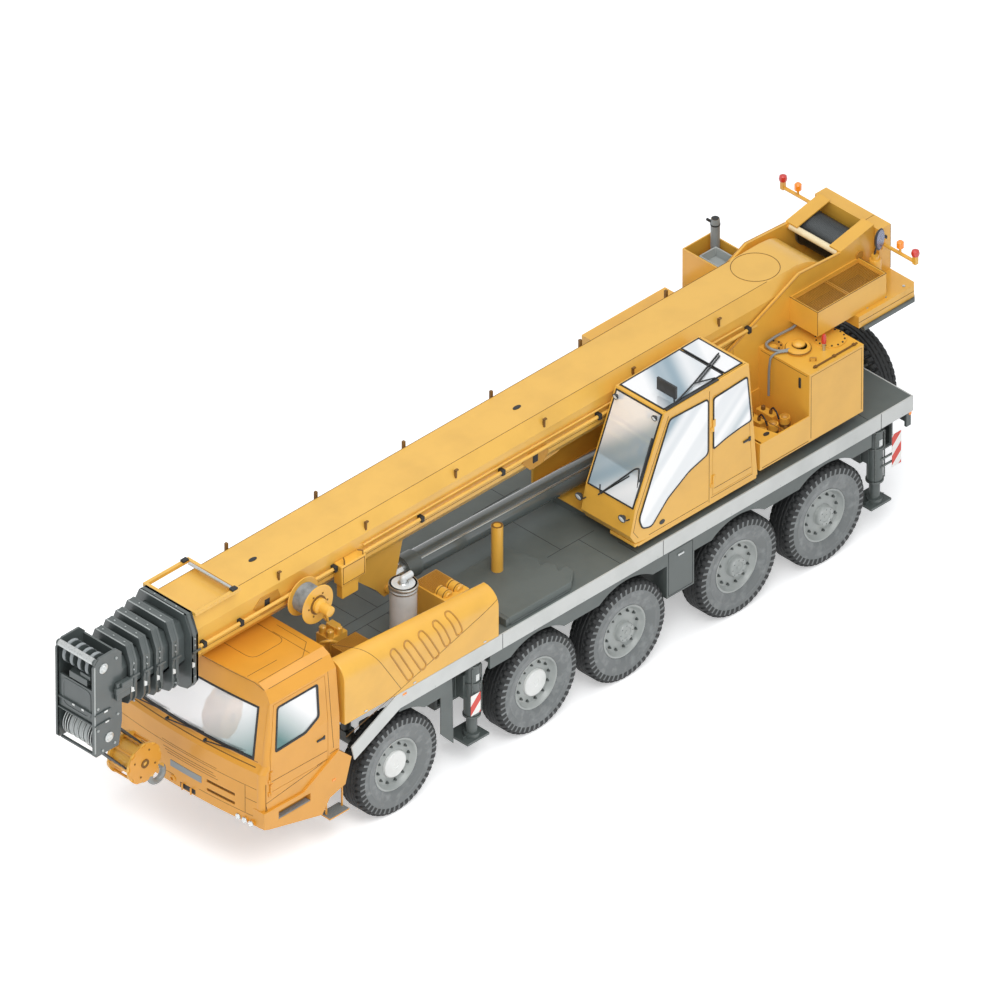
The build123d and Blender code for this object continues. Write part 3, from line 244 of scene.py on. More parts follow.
AMBER = lens("amber_lens", "F08A1E", 0.2)
RED = lens("red_lens", "C8302A", 0.1)
CLEAR = lens("clear_lens", "E9EEEE")
BLUE_GLASS = lens("mirror_glass", "38447A")
STRIPES = barred("warning_board", "D8483C", "F4F2EE", 0.3, (0.0, math.radians(45), math.radians(45)))

# Shapes are numpy grids of points with the faces between them. AXIS_FRAMES has two directions round each axis
# and its own; PLANES has the numbers of the two directions that an outline across it is drawn in, and its own.
AXIS_FRAMES = {
    "x": np.array([[0, 1, 0], [0, 0, 1], [1, 0, 0]], float),
    "y": np.array([[0, 0, 1], [1, 0, 0], [0, 1, 0]], float),
    "z": np.array([[1, 0, 0], [0, 1, 0], [0, 0, 1]], float),
}
PLANES = {"x": (1, 2, 0), "y": (0, 2, 1), "z": (0, 1, 2)}


def grid_faces(rows, cols, wrap_rows, wrap_cols):
    """Quads between neighbouring points of a grid, joined round where a direction closes."""
    i = np.arange(rows if wrap_rows else rows - 1)
    j = np.arange(cols if wrap_cols else cols - 1)
    a, b = np.meshgrid(i, j, indexing="ij")
    c, d = (a + 1) % rows, (b + 1) % cols
    return np.stack([a * cols + b, c * cols + b, c * cols + d, a * cols + d], -1).reshape(-1, 4).tolist()


def capped(rows, cols):
    """The faces of a grid that closes round its columns, with both end loops filled."""
    last = (rows - 1) * cols
    return grid_faces(rows, cols, False, True) + [list(range(cols))[::-1], list(range(last, last + cols))]


def unit(vectors):
    """Vectors in rows, or one alone, brought to a length of one."""
    vectors = np.asarray(vectors, float)
    return vectors / np.linalg.norm(vectors, axis=-1, keepdims=True)


def turned(profile, centre, axis="y", count=48, closed=None):
    """A turned form: each profile point (radius, along) goes once round the axis through the centre.

    The axis is a letter or a direction. A profile that starts at radius nought is open, others close on themselves.
    """
    profile = np.asarray(profile, float)
    if closed is None:
        closed = profile[0, 0] > 0
    if isinstance(axis, str):
        across, up, along = AXIS_FRAMES[axis]
    else:
        along = unit(axis)
        across = unit(np.cross(along, [0, 1, 0] if abs(along[1]) < 0.9 else [1, 0, 0]))
        up = np.cross(along, across)
    angle = np.linspace(0, 2 * np.pi, count, endpoint=False)
    round_way = np.cos(angle)[:, None] * across + np.sin(angle)[:, None] * up
    points = profile[None, :, 0, None] * round_way[:, None] + profile[None, :, 1, None] * along
    return (points + np.asarray(centre, float)).reshape(-1, 3), grid_faces(count, len(profile), True, closed)


def boss(centre, axis, steps, count=32):
    """A round boss: steps of (radius, along) from one end to the other, closed at both ends."""
    return turned([(0, steps[0][1]), *steps, (0, steps[-1][1])], centre, axis, count)


def band(centre, axis, inner, outer, low, high, count=32):
    """A square-edged ring between two radii and two places along its axis."""
    return turned([(inner, low), (outer, low), (outer, high), (inner, high)], centre, axis, count)


def piped(path, radius, sides=12, closed=False):
    """A round bar: a circle carried along a path, square to it at each point, with its ends filled."""
    path = np.asarray(path, float)
    heading = unit(np.roll(path, -1, 0) - np.roll(path, 1, 0) if closed else np.gradient(path, axis=0))
    guide = np.eye(3)[int(np.argmin(np.abs(heading).max(0)))]
    across = unit(np.cross(heading, guide))
    up = np.cross(heading, across)
    angle = np.linspace(0, 2 * np.pi, sides, endpoint=False)
    ring = np.cos(angle)[None, :, None] * across[:, None] + np.sin(angle)[None, :, None] * up[:, None]
    faces = grid_faces(len(path), sides, True, True) if closed else capped(len(path), sides)
    return (path[:, None] + radius * ring).reshape(-1, 3), faces


def bars(radius, sides, *paths):
    """Round bars of one radius along several paths."""
    return [piped(path, radius, sides) for path in paths]


def lines(axis, place, *paths, radius=0.004):
    """Panel seams at one place along an axis, drawn as thin round beads half sunk in the surface."""
    beads = []
    for path in paths:
        points = np.full((len(path), 3), float(place))
        points[:, PLANES[axis][:2]] = path
        beads.append(piped(points, radius, 6))
    return beads


def eased(points, radius, steps=5):
    """A path of straight runs whose corners follow a quadratic curve that starts a radius from the corner."""
    points = np.asarray(points, float)
    path = [points[0]]
    t = np.linspace(0, 1, steps + 1)[:, None]
    for before, corner, after in zip(points, points[1:], points[2:]):
        first, second = corner + unit(before - corner) * radius, corner + unit(after - corner) * radius
        path.extend((1 - t) ** 2 * first + 2 * t * (1 - t) * corner + t ** 2 * second)
    return np.array([*path, points[-1]])


def panel(corners, axis, low, high):
    """A flat plate: an outline in the two other directions carried along an axis between two places."""
    first, second, third = PLANES[axis]
    points = np.zeros((2, len(corners), 3))
    points[:, :, [first, second]] = np.asarray(corners, float)
    points[0, :, third], points[1, :, third] = low, high
    return points.reshape(-1, 3), capped(2, len(corners))


def hoop(outer, inner, axis, low, high):
    """A flat frame: the ring between two outlines with as many corners, carried along an axis."""
    first, second, third = PLANES[axis]
    points = np.zeros((4, len(outer), 3))
    for row, (loop, place) in enumerate([(outer, low), (outer, high), (inner, high), (inner, low)]):
        points[row, :, [first, second]] = np.asarray(loop, float).T
        points[row, :, third] = place
    return points.reshape(-1, 3), grid_faces(4, len(outer), True, True)


def rounded(corners, radius, steps=4):
    """An outline with each corner replaced by a quadratic curve."""
    corners = np.asarray(corners, float)
    first = corners + unit(np.roll(corners, 1, 0) - corners) * radius
    second = corners + unit(np.roll(corners, -1, 0) - corners) * radius
    t = np.linspace(0, 1, steps + 1)[None, :, None]
    curve = (1 - t) ** 2 * first[:, None] + 2 * t * (1 - t) * corners[:, None] + t ** 2 * second[:, None]
    return curve.reshape(-1, 2)


def drawn_in(corners, amount):
    """An outline moved inwards along the mean of its two edge normals at each corner."""
    corners = np.asarray(corners, float)
    following = np.roll(corners, -1, 0)
    ahead = unit(following - corners)
    turn = np.sign(np.sum(corners[:, 0] * following[:, 1] - following[:, 0] * corners[:, 1]))
    normal = np.stack([-ahead[:, 1], ahead[:, 0]], 1) * turn
    both_normals = normal + np.roll(normal, 1, 0)
    return corners + both_normals / ((both_normals ** 2).sum(1)[:, None] / 2) * amount


def oval(first, second, across, high, count=20):
    """An oval outline round a middle, in two directions."""
    turn = np.arange(count) * 2 * np.pi / count
    return np.stack([first + across * np.cos(turn), second + high * np.sin(turn)], 1)


def slab(x0, x1, y0, y1, z0, z1):
    """A rectangular bar between two corners."""
    return panel([(x0, y0), (x1, y0), (x1, y1), (x0, y1)], "z", z0, z1)


def slabs(*rows):
    """Rectangular bars, each between two corners."""
    return [slab(*row) for row in rows]


def round_spots(centre, axis, radius, count, start=0.0):
    """Places at even steps round an axis."""
    across, up, _ = AXIS_FRAMES[axis]
    angle = start + np.arange(count)[:, None] * 2 * np.pi / count
    return np.asarray(centre, float) + radius * (np.cos(angle) * across + np.sin(angle) * up)


def bolts_at(places, axis, radius=0.012, height=0.01):
    """Bolt heads at places, standing out along an axis."""
    return [boss(place, axis, [(radius, -0.004), (radius, height)], 6) for place in places]


def both(*parts):
    """Forms, and the same forms on the other side of the machine."""
    return [*parts, *((points * [1, -1, 1], faces) for points, faces in parts)]


# points nearer than MERGE are joined, and edges shorter than FLAT taken away
MERGE = 1e-5
FLAT = 1e-6
BEVEL_FROM = math.radians(40)
SHARP_FROM = math.radians(35)


def make(name, parts, material, body, bevel=0.0):
    """Joins forms into one piece with its finish, and lets it ride on a body."""
    faces, base = [], 0
    for part_points, part_faces in parts:
        faces.extend([v + base for v in face] for face in part_faces)
        base += len(part_points)
    mesh = bpy.data.meshes.new(name)
    mesh.from_pydata(np.concatenate([points for points, _ in parts]).tolist(), [], faces)
    form = bmesh.new()
    form.from_mesh(mesh)
    bmesh.ops.remove_doubles(form, verts=form.verts, dist=MERGE)
    bmesh.ops.dissolve_degenerate(form, edges=form.edges, dist=FLAT)
    bmesh.ops.recalc_face_normals(form, faces=form.faces)
    form.to_mesh(mesh)
    form.free()
    piece = bpy.data.objects.new(name, mesh)
    bpy.context.scene.collection.objects.link(piece)
    mesh.materials.append(material)
    if bevel:
        edge = piece.modifiers.new("edge", "BEVEL")
        edge.width = bevel
        edge.segments = 2
        edge.limit_method = "ANGLE"
        edge.angle_limit = BEVEL_FROM
    mesh.shade_smooth()
    mesh.set_sharp_from_angle(angle=SHARP_FROM)
    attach(piece, body)
    return piece


def dress(body, *rows):
    """Makes a body's pieces from rows of a name, a finish, the width of its bevelled edges and its forms."""
    for name, material, bevel, parts in rows:
        make(name, parts, material, body, bevel)


# Places shared by many pieces
HALF_WIDTH = 1.5
AXLES = [2.825, 0.225, -1.425, -3.525, -5.175]
HUB_Z = 0.7465
TYRE_RADIUS = 0.7465
TYRE_HALF = 0.1925
WHEEL_Y = HALF_WIDTH - TYRE_HALF
DECK_TOP = 1.9
CAB_SIDE = 1.47
CAB_ROOF = 3.045
SIDES = {"left": 1, "right": -1}
WAYS = SIDES.values()

FINISHES = {
    BOOM_YELLOW: ["boom_base"],
    CAB_ORANGE: ["carrier_cab", "carrier_door_left", "carrier_door_right"],
    HOUSE_YELLOW: ["turntable", "operator_cab", "operator_door", "machine_house", "right_hood", "counterweight",
                   "deck_post", "hook_block"],
    BOOM_GREY: [f"boom_section_{n}" for n in range(1, 6)] + ["boom_head"],
    BARREL_GREY: ["lift_cylinder_barrel"],
    DARK_GREY: ["chassis_frame", "lockers", "axles", "suspension", "slew_ring", "engine"]
    + [f"knuckle_{n}_{side}" for n in (1, 2, 4, 5) for side in SIDES]
    + [f"outrigger_{part}_{end}_{side}" for part in ("beam", "jack") for end in ("front", "rear") for side in SIDES],
    DECK_GREY: ["deck"],
    SILVER: ["side_bands"],
    ALUMINISED: ["silencer"],
    CHROME: ["lift_cylinder_rod"],
    ROPE_STEEL: ["winch_drum"],
    SCREEN_GLASS: ["carrier_windscreen"],
}
for finish, nodes in FINISHES.items():
    for node in nodes:
        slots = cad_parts[node].data.materials
        slots.clear()
        slots.append(finish)

# Wheels
TYRE_SECTION = np.array([
    (0.130, 0.3690), (0.150, 0.392), (0.176, 0.43), (0.186, 0.49), (0.1890, 0.528), (0.1925, 0.535), (0.1900, 0.542),
    (0.1915, 0.58), (0.1925, 0.62), (0.1912, 0.665), (0.186, 0.700), (0.1765, 0.722), (0.160, 0.7385), (0.142, 0.7465),
])
TREAD_HALF = 0.13
TREAD_POINTS = 25
TREAD_DEPTH = 0.016
LUG_COUNT = 46
LUG_STEPS = 6
GROOVES = (0.030, 0.088)
GROOVE_HALF = 0.0065
ZIGZAG = 0.009
TREAD_FROM = 0.70
# the slots between the shoulder lugs: their share of a lug, where they start, and their depth in treads
SLOT_SHARE, SLOT_SIDE, SLOT_FROM, SLOT_DEPTH = 0.30, 0.112, 0.705, 1.6
# the painted sheen: a lighter grey sidewall band starts here and ends at the lugs, or further out between them, so the
# tread blocks read as dark teeth
SHEEN_FROM, SHEEN_TO, SHEEN_TO_BETWEEN = 0.41, 0.61, 0.69


def tyre_form(centre, axis):
    """A tyre: the section goes round the hub, and the radius drops in zigzag grooves and shoulder slots."""
    flank, height = TYRE_SECTION.T
    across = np.concatenate([-flank, np.linspace(-TREAD_HALF, TREAD_HALF, TREAD_POINTS), flank[::-1]])
    radius = np.concatenate([height, np.full(TREAD_POINTS, TYRE_RADIUS), height[::-1]])[None, :]
    steps = LUG_COUNT * LUG_STEPS
    angle = (np.arange(steps) * 2 * np.pi / steps)[:, None, None]
    phase = (np.arange(steps) % LUG_STEPS / LUG_STEPS)[:, None]
    side = np.abs(across)[None, :]
    groove = np.where((phase < SLOT_SHARE) & (side > SLOT_SIDE) & (radius > SLOT_FROM), SLOT_DEPTH, 0.0)
    for place in GROOVES:
        apart = side - place - ZIGZAG * np.abs(phase * 2 - 1)
        groove = np.maximum(groove, np.exp(-((apart / GROOVE_HALF) ** 4)))
    drawn = radius - groove * TREAD_DEPTH * (radius > TREAD_FROM)
    first, second, along = AXIS_FRAMES[axis]
    ring = np.cos(angle) * first + np.sin(angle) * second
    points = drawn[:, :, None] * ring + across[None, :, None] * along + np.asarray(centre, float)
    return points.reshape(-1, 3), grid_faces(steps, len(across), True, True)


def tyre_piece(name, centre, axis, body, node):
    """A tyre that stands for a node; its sidewalls carry a lighter band of painted sheen, which runs up between the
    tread blocks.
    """
    tyre = make(name, [tyre_form(centre, axis)], RUBBER, body)
    tyre.data.materials.append(TYRE_SIDEWALL_SHEEN)
    count = len(tyre.data.polygons)
    middles = np.empty(count * 3)
    tyre.data.polygons.foreach_get("center", middles)
    first, second, along = AXIS_FRAMES[axis] @ (middles.reshape(-1, 3) - np.asarray(centre)).T
    radius = np.hypot(first, second)
    step = np.arctan2(second, first) / (2 * np.pi) % 1.0 * LUG_COUNT * LUG_STEPS
    outer = np.where(step.astype(int) % LUG_STEPS < 2, SHEEN_TO_BETWEEN, SHEEN_TO)
    # faces inside the painted sheen band take the lighter sidewall material
    wall = (np.abs(along) > TREAD_HALF) & (radius > SHEEN_FROM) & (radius < outer)
    tyre.data.polygons.foreach_set("material_index", wall.astype(np.int32))
    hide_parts(node)


RIM_DISH = [(0.232, 0.092), (0.252, 0.083), (0.318, 0.080), (0.333, 0.090), (0.346, 0.112), (0.355, 0.126),
            (0.366, 0.147), (0.376, 0.151), (0.389, 0.150), (0.391, 0.144), (0.382, 0.134), (0.3675, 0.1295),
            (0.3675, -0.1295), (0.391, -0.149), (0.380, -0.152), (0.352, -0.128), (0.340, 0.040), (0.300, 0.058)]
NUT_CIRCLE = 0.284
CAP_BOLT_CIRCLE = 0.112
WHEEL_NUT = [(0.024, 0.078), (0.024, 0.086), (0.017, 0.087), (0.0165, 0.110), (0.010, 0.113), (0.009, 0.122)]


def rim_forms(centre, axis, way, planetary):
    """The rim's dish, its bolts and its hub, on the outer side given by the way."""
    outwards = [1, way]
    cap, out = (0.150, 0.1915) if planetary else (0.195, 0.146)
    dish = turned(np.array([(cap + 0.006, 0.104), *RIM_DISH, (cap + 0.006, 0.066)]) * outwards, centre, axis, 64)
    bolts = [boss(spot, axis, np.array(WHEEL_NUT) * outwards, 6)
             for spot in round_spots(centre, axis, NUT_CIRCLE, 12, 0.13)]
    if planetary:
        steps = [(cap + 0.006, 0.07), (cap + 0.006, 0.112), (cap, 0.118), (cap - 0.004, out - 0.02), (cap - 0.02, out),
                 (0.085, out), (0.080, out - 0.012), (0.030, out - 0.012), (0.026, out - 0.002)]
        bolts += [boss(spot, axis, np.array([(0.010, out - 0.004), (0.010, out + 0.0008)]) * outwards, 6)
                  for spot in round_spots(centre, axis, CAP_BOLT_CIRCLE, 8)]
    else:
        steps = [(cap + 0.004, 0.07), (cap + 0.004, 0.10), (cap, out - 0.012), (cap - 0.012, out), (0.060, out),
                 (0.056, out - 0.006), (0.020, out - 0.006), (0.018, out - 0.002)]
    return [dish], bolts, [boss(centre, axis, np.array(steps) * outwards, 48)]


for number, axle_x in enumerate(AXLES, start=1):
    for side, way in SIDES.items():
        body = f"wheel_{number}_{side}"
        centre = (axle_x, way * WHEEL_Y, HUB_Z)
        tyre_piece(f"tyre_{number}_{side}", centre, "y", body, body)
        dish, bolts, cap = rim_forms(centre, "y", way, number > 2)
        dress(body, (f"rim_{number}_{side}", RIM_GREY, 0, dish), (f"wheel_nuts_{number}_{side}", CAST, 0, bolts),
              (f"hub_{number}_{side}", CAP_WHITE if number < 3 else RIM_GREY, 0, cap))

# Spare wheel on the rear of the frame
SPARE = (-7.08, 0.03, 1.44)
tyre_piece("spare_tyre", SPARE, "x", "carrier", "spare_wheel")
dish, bolts, cap = rim_forms(SPARE, "x", -1, False)
make("spare_rim", dish + cap, RIM_GREY, "carrier")


# Skins of the curved pieces, for fittings that lie on them
CAB_NOSE = ([0.95, 1.8, 1.9, 2.76, 3.045], [5.38, 5.38, 5.30, 5.19, 5.13])
CAB_FLANK = ([0.0, 2.1, 2.83, 2.985, 3.045], [1.47, 1.47, 1.406, 1.29, 1.17])
COVER_CREST = ([0.96, 3.81], [2.63, 2.83])
NOSE_BOW = 0.09
NOSE_HALF = 1.36
SUNK = 0.012
COVER_ROUND = 0.25
COVER_CREST_Y = 1.22


def cab_nose(y, z):
    """The X of the cab's bowed front."""
    return np.interp(z, *CAB_NOSE) - NOSE_BOW * (np.asarray(y) / NOSE_HALF) ** 2


def bowed(y0, y1, z0, z1, out=0.002, steps=10):
    """A strip that follows the cab's bowed front, standing out by an amount."""
    corners = [(z0, -SUNK), (z0, out), (z1, out), (z1, -SUNK)]
    points = [(cab_nose(y, z) + step, y, z) for y in np.linspace(y0, y1, steps) for z, step in corners]
    return np.array(points), capped(steps, 4)


def on_cab_flank(part, way):
    """Moves a plate drawn round Y = 0 out to the cab's leaning side."""
    points, faces = part
    points[:, 1] = way * (np.interp(points[:, 2], *CAB_FLANK) + points[:, 1])
    return points, faces


def cover_skin(x, z):
    """A point on the left engine cover's side and rounded shoulder; z above the crest runs on across the top."""
    top = np.interp(x, *COVER_CREST)
    rise = z - top + COVER_ROUND
    if rise <= 0:
        return x, HALF_WIDTH, z
    turn = min(rise / COVER_ROUND, np.pi / 2)
    run = max(rise / COVER_ROUND - np.pi / 2, 0) * COVER_ROUND
    return (x, HALF_WIDTH - COVER_ROUND + COVER_ROUND * math.cos(turn) - run,
            top - COVER_ROUND + COVER_ROUND * math.sin(turn))


# Carrier cab: glass seals, wipers, grille, bumper, steps and roof lines
HALF, LOW, HIGH = 1.22, 1.945, 2.715
wipers = []
for pivot, tip in ((-0.95, -0.38), (-0.28, 0.30), (0.42, 0.99)):
    arm = [(cab_nose(y, z) + out, y, z) for y, z, out in (
        (pivot, 1.885, 0.01), (pivot, 1.885, 0.03), (pivot + 0.08, 1.90, 0.035), (tip, 1.965, 0.025))]
    blade = [(cab_nose(y, z) + 0.014, y, z)
             for y, z in ((pivot + 0.06, 1.955), (tip - 0.1, 1.975), (tip + 0.08, 1.985))]
    wipers += [piped(arm, 0.009, 6), boss(arm[0], "x", [(0.022, -0.02), (0.022, 0.018), (0.014, 0.026)], 12),
               piped(blade, 0.007, 6)]
lamps, lamp_rims = [], []
for y in (1.05, 1.17, 1.29):
    lamps.append(boss((5.335, y, 0.985), "x", [(0.034, -0.01), (0.033, 0.004), (0.026, 0.011), (0.012, 0.014)], 20))
    lamp_rims.append(turned([(0.045, -0.012), (0.046, 0.004), (0.042, 0.008), (0.034, 0.002)],
                            (5.335, y, 0.985), "x", 24))
hatch = rounded([(4.13, -0.73), (4.74, -0.73), (4.74, 0.73), (4.13, 0.73)], 0.14)
across = np.linspace(-1.28, 1.28, 17)
visor = np.stack([cab_nose(across, 2.9) - SUNK, across,
                  np.interp(np.abs(across), [0, 1.17, 1.29], [CAB_ROOF, CAB_ROOF, 2.985])], 1)
treads = slabs((4.452, 5.026, 1.412, 1.494, 1.0115, 1.024), (3.732, 4.087, 1.302, 1.498, 0.5303, 0.5315))
treads += [slab(4.47 + 0.028 * n, 4.482 + 0.028 * n, 1.416, 1.49, 1.024, 1.029) for n in range(20)]
treads += [slab(3.745 + 0.028 * n, 3.757 + 0.028 * n, 1.31, 1.49, 0.53, 0.536) for n in range(12)]
dress(
    "carrier",
    ("screen_seal", SEAL, 0, [
        bowed(-HALF - 0.02, HALF + 0.02, LOW - 0.02, LOW + 0.012, 0.004),
        bowed(-HALF - 0.02, HALF + 0.02, HIGH - 0.012, HIGH + 0.02, 0.004),
        *both(bowed(HALF - 0.012, HALF + 0.02, LOW, HIGH, 0.004, 2))]),
    ("cab_wipers", PLASTIC, 0, wipers),
    # painted shade: the dark brown strips of the cowl, front lines, grille slots, roof and flank lines stand for the
    # shade in those gaps and creases
    ("cab_cowl", SHADE_BROWN, 0, [bowed(-1.3, 1.3, 1.852, 1.862, 0.003), bowed(-1.3, 1.3, 1.918, 1.924, 0.003)]),
    ("cab_front_lines", SHADE_BROWN, 0, [
        bowed(-1.355, 1.355, 1.540, 1.546), bowed(-0.32, 0.67, 1.572, 1.577), bowed(-0.30, 0.62, 1.472, 1.478),
        bowed(-0.26, 0.66, 1.435, 1.441), bowed(-0.22, 0.70, 1.398, 1.404), bowed(0.36, 1.30, 1.092, 1.098),
        bowed(-1.30, -0.10, 1.092, 1.098),
        *both(bowed(1.16, 1.355, 1.335, 1.341), bowed(1.16, 1.166, 1.10, 1.54, 0.002, 2))]),
    ("cab_badge_plate", BOARD_GREY, 0.004, [bowed(-0.16, 0.41, 1.215, 1.315, 0.008)]),
    ("bumper_grille", SHADE_BROWN, 0, both(*[bowed(0.51, 0.98, z - 0.003, z + 0.003, -0.006)
                                      for z in (1.1525, 1.1725, 1.2925, 1.3125)])),
    # painted shade: a raised black plate stands for the shade inside the tow recess
    ("tow_recess_shade", SEAL, 0.01, [bowed(0.02, 0.30, 0.965, 1.045, 0.004)]),
    ("tow_jaw", CAB_ORANGE, 0, [
        boss((5.37, -0.12, 1.03), "x", [(0.055, -0.05), (0.055, 0.02), (0.04, 0.03), (0.026, 0.03), (0.02, 0.0)], 24),
        *bars(0.013, 10, *[[(5.405, y, 0.96), (5.405, y, 1.06)] for y in (0.08, 0.24)])]),
    ("bumper_lamps", CLEAR, 0, both(*lamps)),
    ("bumper_lamp_rims", CHROME, 0, both(*lamp_rims)),
    ("cab_roof_lines", SHADE_BROWN, 0, [
        *both(*lines("z", CAB_ROOF, [(4.53, 0.965), (5.06, 0.955)], [(4.24, 1.155), (5.05, 1.155)],
                     [(4.115, 0.47), (4.115, 1.16)], [(3.97, 0.40), (3.97, 0.95)], [(3.97, 0.95), (4.24, 1.155)])),
        *lines("z", CAB_ROOF, np.vstack([hatch, hatch[:1]])), piped(visor, 0.004, 6)]),
    ("cab_flank_lines", SHADE_BROWN, 0, both(
        *lines("y", CAB_SIDE, [(5.235, 1.345), (4.20, 1.475)], [(3.90, 1.565), (4.06, 1.56)],
               [(5.235, 1.0), (5.235, 1.65)], [(5.235, 1.33), (5.16, 1.0)]),
        *bars(0.004, 6, [(4.03, 1.405, 2.83), (4.03, CAB_SIDE, 2.1), (3.99, CAB_SIDE, 1.62)],
              [(4.02, 1.29, 2.985), (4.5, 1.29, 2.985), (5.0, 1.29, 2.985)]))),
    ("cab_step_treads", BOARD_GREY, 0, both(*treads)),
    ("fender_markers", AMBER, 0.003, both(slab(3.985, 4.045, 1.5, 1.507, 1.115, 1.15),
                                          slab(2.675, 2.745, 1.5, 1.507, 1.838, 1.868))),
)

DOOR_GLASS = [(4.225, 2.735), (4.24, 2.24), (4.5, 2.11), (5.06, 2.085), (4.97, 2.735)]
door_frame = [rounded(drawn_in(DOOR_GLASS, -0.008), 0.05), rounded(drawn_in(DOOR_GLASS, 0.022), 0.04)]
door_pane = rounded(drawn_in(DOOR_GLASS, 0.008), 0.04)
for side, way in SIDES.items():
    dress(
        f"carrier_door_{side}",
        (f"door_seal_{side}", SEAL, 0, [on_cab_flank(hoop(*door_frame, "y", -0.02, 0.005), way)]),
        (f"door_glass_{side}", DOOR_PANE, 0, [on_cab_flank(panel(door_pane, "y", -0.016, -0.008), way)]),
        # painted shade in the door's seams
        (f"door_line_{side}", SHADE_BROWN, 0,
         lines("y", way * CAB_SIDE, [(4.11, 1.632), (5.13, 1.650)], [(4.11, 1.497), (4.30, 1.49)])),
        (f"door_handle_{side}", PLASTIC, 0.005, slabs((4.16, 4.30, way * 1.468, way * 1.485, 1.86, 1.89),
                                                      (4.15, 4.18, way * 1.46, way * 1.482, 1.845, 1.905))),
    )

# Inside the carrier cab
SEAT_Y = 0.62
for side, way in SIDES.items():
    y = way * SEAT_Y
    seat = make(f"carrier_seat_{side}", slabs(
        (4.02, 4.52, y - 0.25, y + 0.25, 1.75, 1.87), (3.98, 4.10, y - 0.25, y + 0.25, 1.86, 2.50),
        (4.0, 4.08, y - 0.14, y + 0.14, 2.51, 2.70)), SEAT_CLOTH, "carrier", 0.035)
turn = np.arange(28) * 2 * np.pi / 28
wheel_ring = np.stack([4.66 + 0.14 * np.sin(turn), SEAT_Y + 0.225 * np.cos(turn), 2.02 + 0.176 * np.sin(turn)], 1)
dress(
    "carrier",
    ("carrier_seat_boxes", PLASTIC, 0.02, both(slab(4.05, 4.48, SEAT_Y - 0.2, SEAT_Y + 0.2, 1.44, 1.755))),
    ("carrier_dash", PLASTIC, 0.01, [
        panel([(4.86, 1.70), (5.14, 1.60), (5.20, 1.90), (5.10, 1.925), (4.93, 1.90)], "y", -1.35, 1.35),
        piped([(4.62, SEAT_Y, 1.50), (4.90, SEAT_Y, 1.80)], 0.035, 10)]),
    ("carrier_steering_wheel", PLASTIC, 0, [
        piped(wheel_ring, 0.016, 8, True), piped([(4.66, 0.40, 2.02), (4.66, 0.84, 2.02)], 0.014, 8),
        piped([(4.66, SEAT_Y, 2.02), (4.86, SEAT_Y, 1.85)], 0.03, 10)]),
)

# Engine covers: shells, pressed louvres and creases; the louvres' darker rims and the crease lines are painted shade.
# The rims lean from a high end to a low end, in X and Z.
RIM_LINES = [((2.90, 2.60), (2.61, 2.08)), ((2.64, 2.60), (2.37, 2.13)), ((2.36, 2.61), (2.13, 2.19)),
             ((2.07, 2.63), (1.92, 2.28)), ((1.81, 2.65), (1.70, 2.35))]
RIM_HALF = 0.055


def cover_shell():
    """The left engine cover: its section goes up the side, round the shoulder to a narrow crest and down inside."""
    rows = []
    for x, top in zip(*COVER_CREST):
        shoulder = [(HALF_WIDTH - COVER_ROUND * (1 - math.cos(t)), top - COVER_ROUND * (1 - math.sin(t)))
                    for t in np.linspace(0, np.pi / 2, 12)]
        section = [(HALF_WIDTH, DECK_TOP), *shoulder, (COVER_CREST_Y, top), (COVER_CREST_Y - 0.015, top - 0.015),
                   (COVER_CREST_Y - 0.015, DECK_TOP)]
        rows.append([(x, y, z) for y, z in section])
    return np.array(rows).reshape(-1, 3), capped(2, len(rows[0]))


def louvre_rim(high, low, way):
    """A stadium round a leaning line from low to high, laid on a cover's skin."""
    low, high = np.array(low), np.array(high)
    along = unit(high - low)
    aside = RIM_HALF * np.array([along[1], -along[0]])
    turn = np.linspace(0, np.pi, 14)[:, None]
    bow = np.cos(turn) * aside + np.sin(turn) * along * RIM_HALF
    run = np.linspace(0, 1, 12)[1:-1, None]
    outline = np.vstack([high + bow, high + (low - high) * run - aside, low - bow, low + (high - low) * run + aside])
    return piped(np.array([cover_skin(x, z) for x, z in outline]) * [1, way, 1], 0.014, 6, True)


def mesh_panel(x0, x1, y0, y1, z, pitch, wire=0.006):
    """Woven wire mesh: square bars both ways."""
    half = wire / 2
    lengthways = [slab(x - half, x + half, y0, y1, z, z + wire) for x in np.arange(x0 + pitch / 2, x1, pitch)]
    crossways = [slab(x0, x1, y - half, y + half, z + wire, z + 2 * wire)
                 for y in np.arange(y0 + pitch / 2, y1, pitch)]
    return lengthways + crossways


for part, side in zip(both(cover_shell()), SIDES):
    cover = make(f"cover_shell_{side}", [part], HOUSE_YELLOW, "carrier", 0.02)
    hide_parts(f"engine_cover_{side}")
creases = [
    [cover_skin(2.777 + (z - 1.976) * 0.62, z) for z in np.linspace(1.965, 3.22, 26)],
    [cover_skin(x, z) for x, z in zip(np.linspace(2.777, 0.97, 20), np.linspace(1.965, 2.488, 20))],
    [cover_skin(x, z) for x, z in zip(np.linspace(2.777, 3.79, 6), np.linspace(1.965, 1.705, 6))],
]
SILENCER = (1.985, 0.75, 0.0)
POST = (0.035, 0.54, 0.0)
FILTERS = [(x, 0.76, 2.44) for x in (1.13, 1.33)]
valve_pipe = eased([(3.09, 0.38, 2.25), (3.21, 0.38, 2.31), (3.25, 0.50, 2.45), (3.17, 0.60, 2.49),
                    (3.01, 0.60, 2.35), (3.01, 0.60, 1.92)], 0.07)
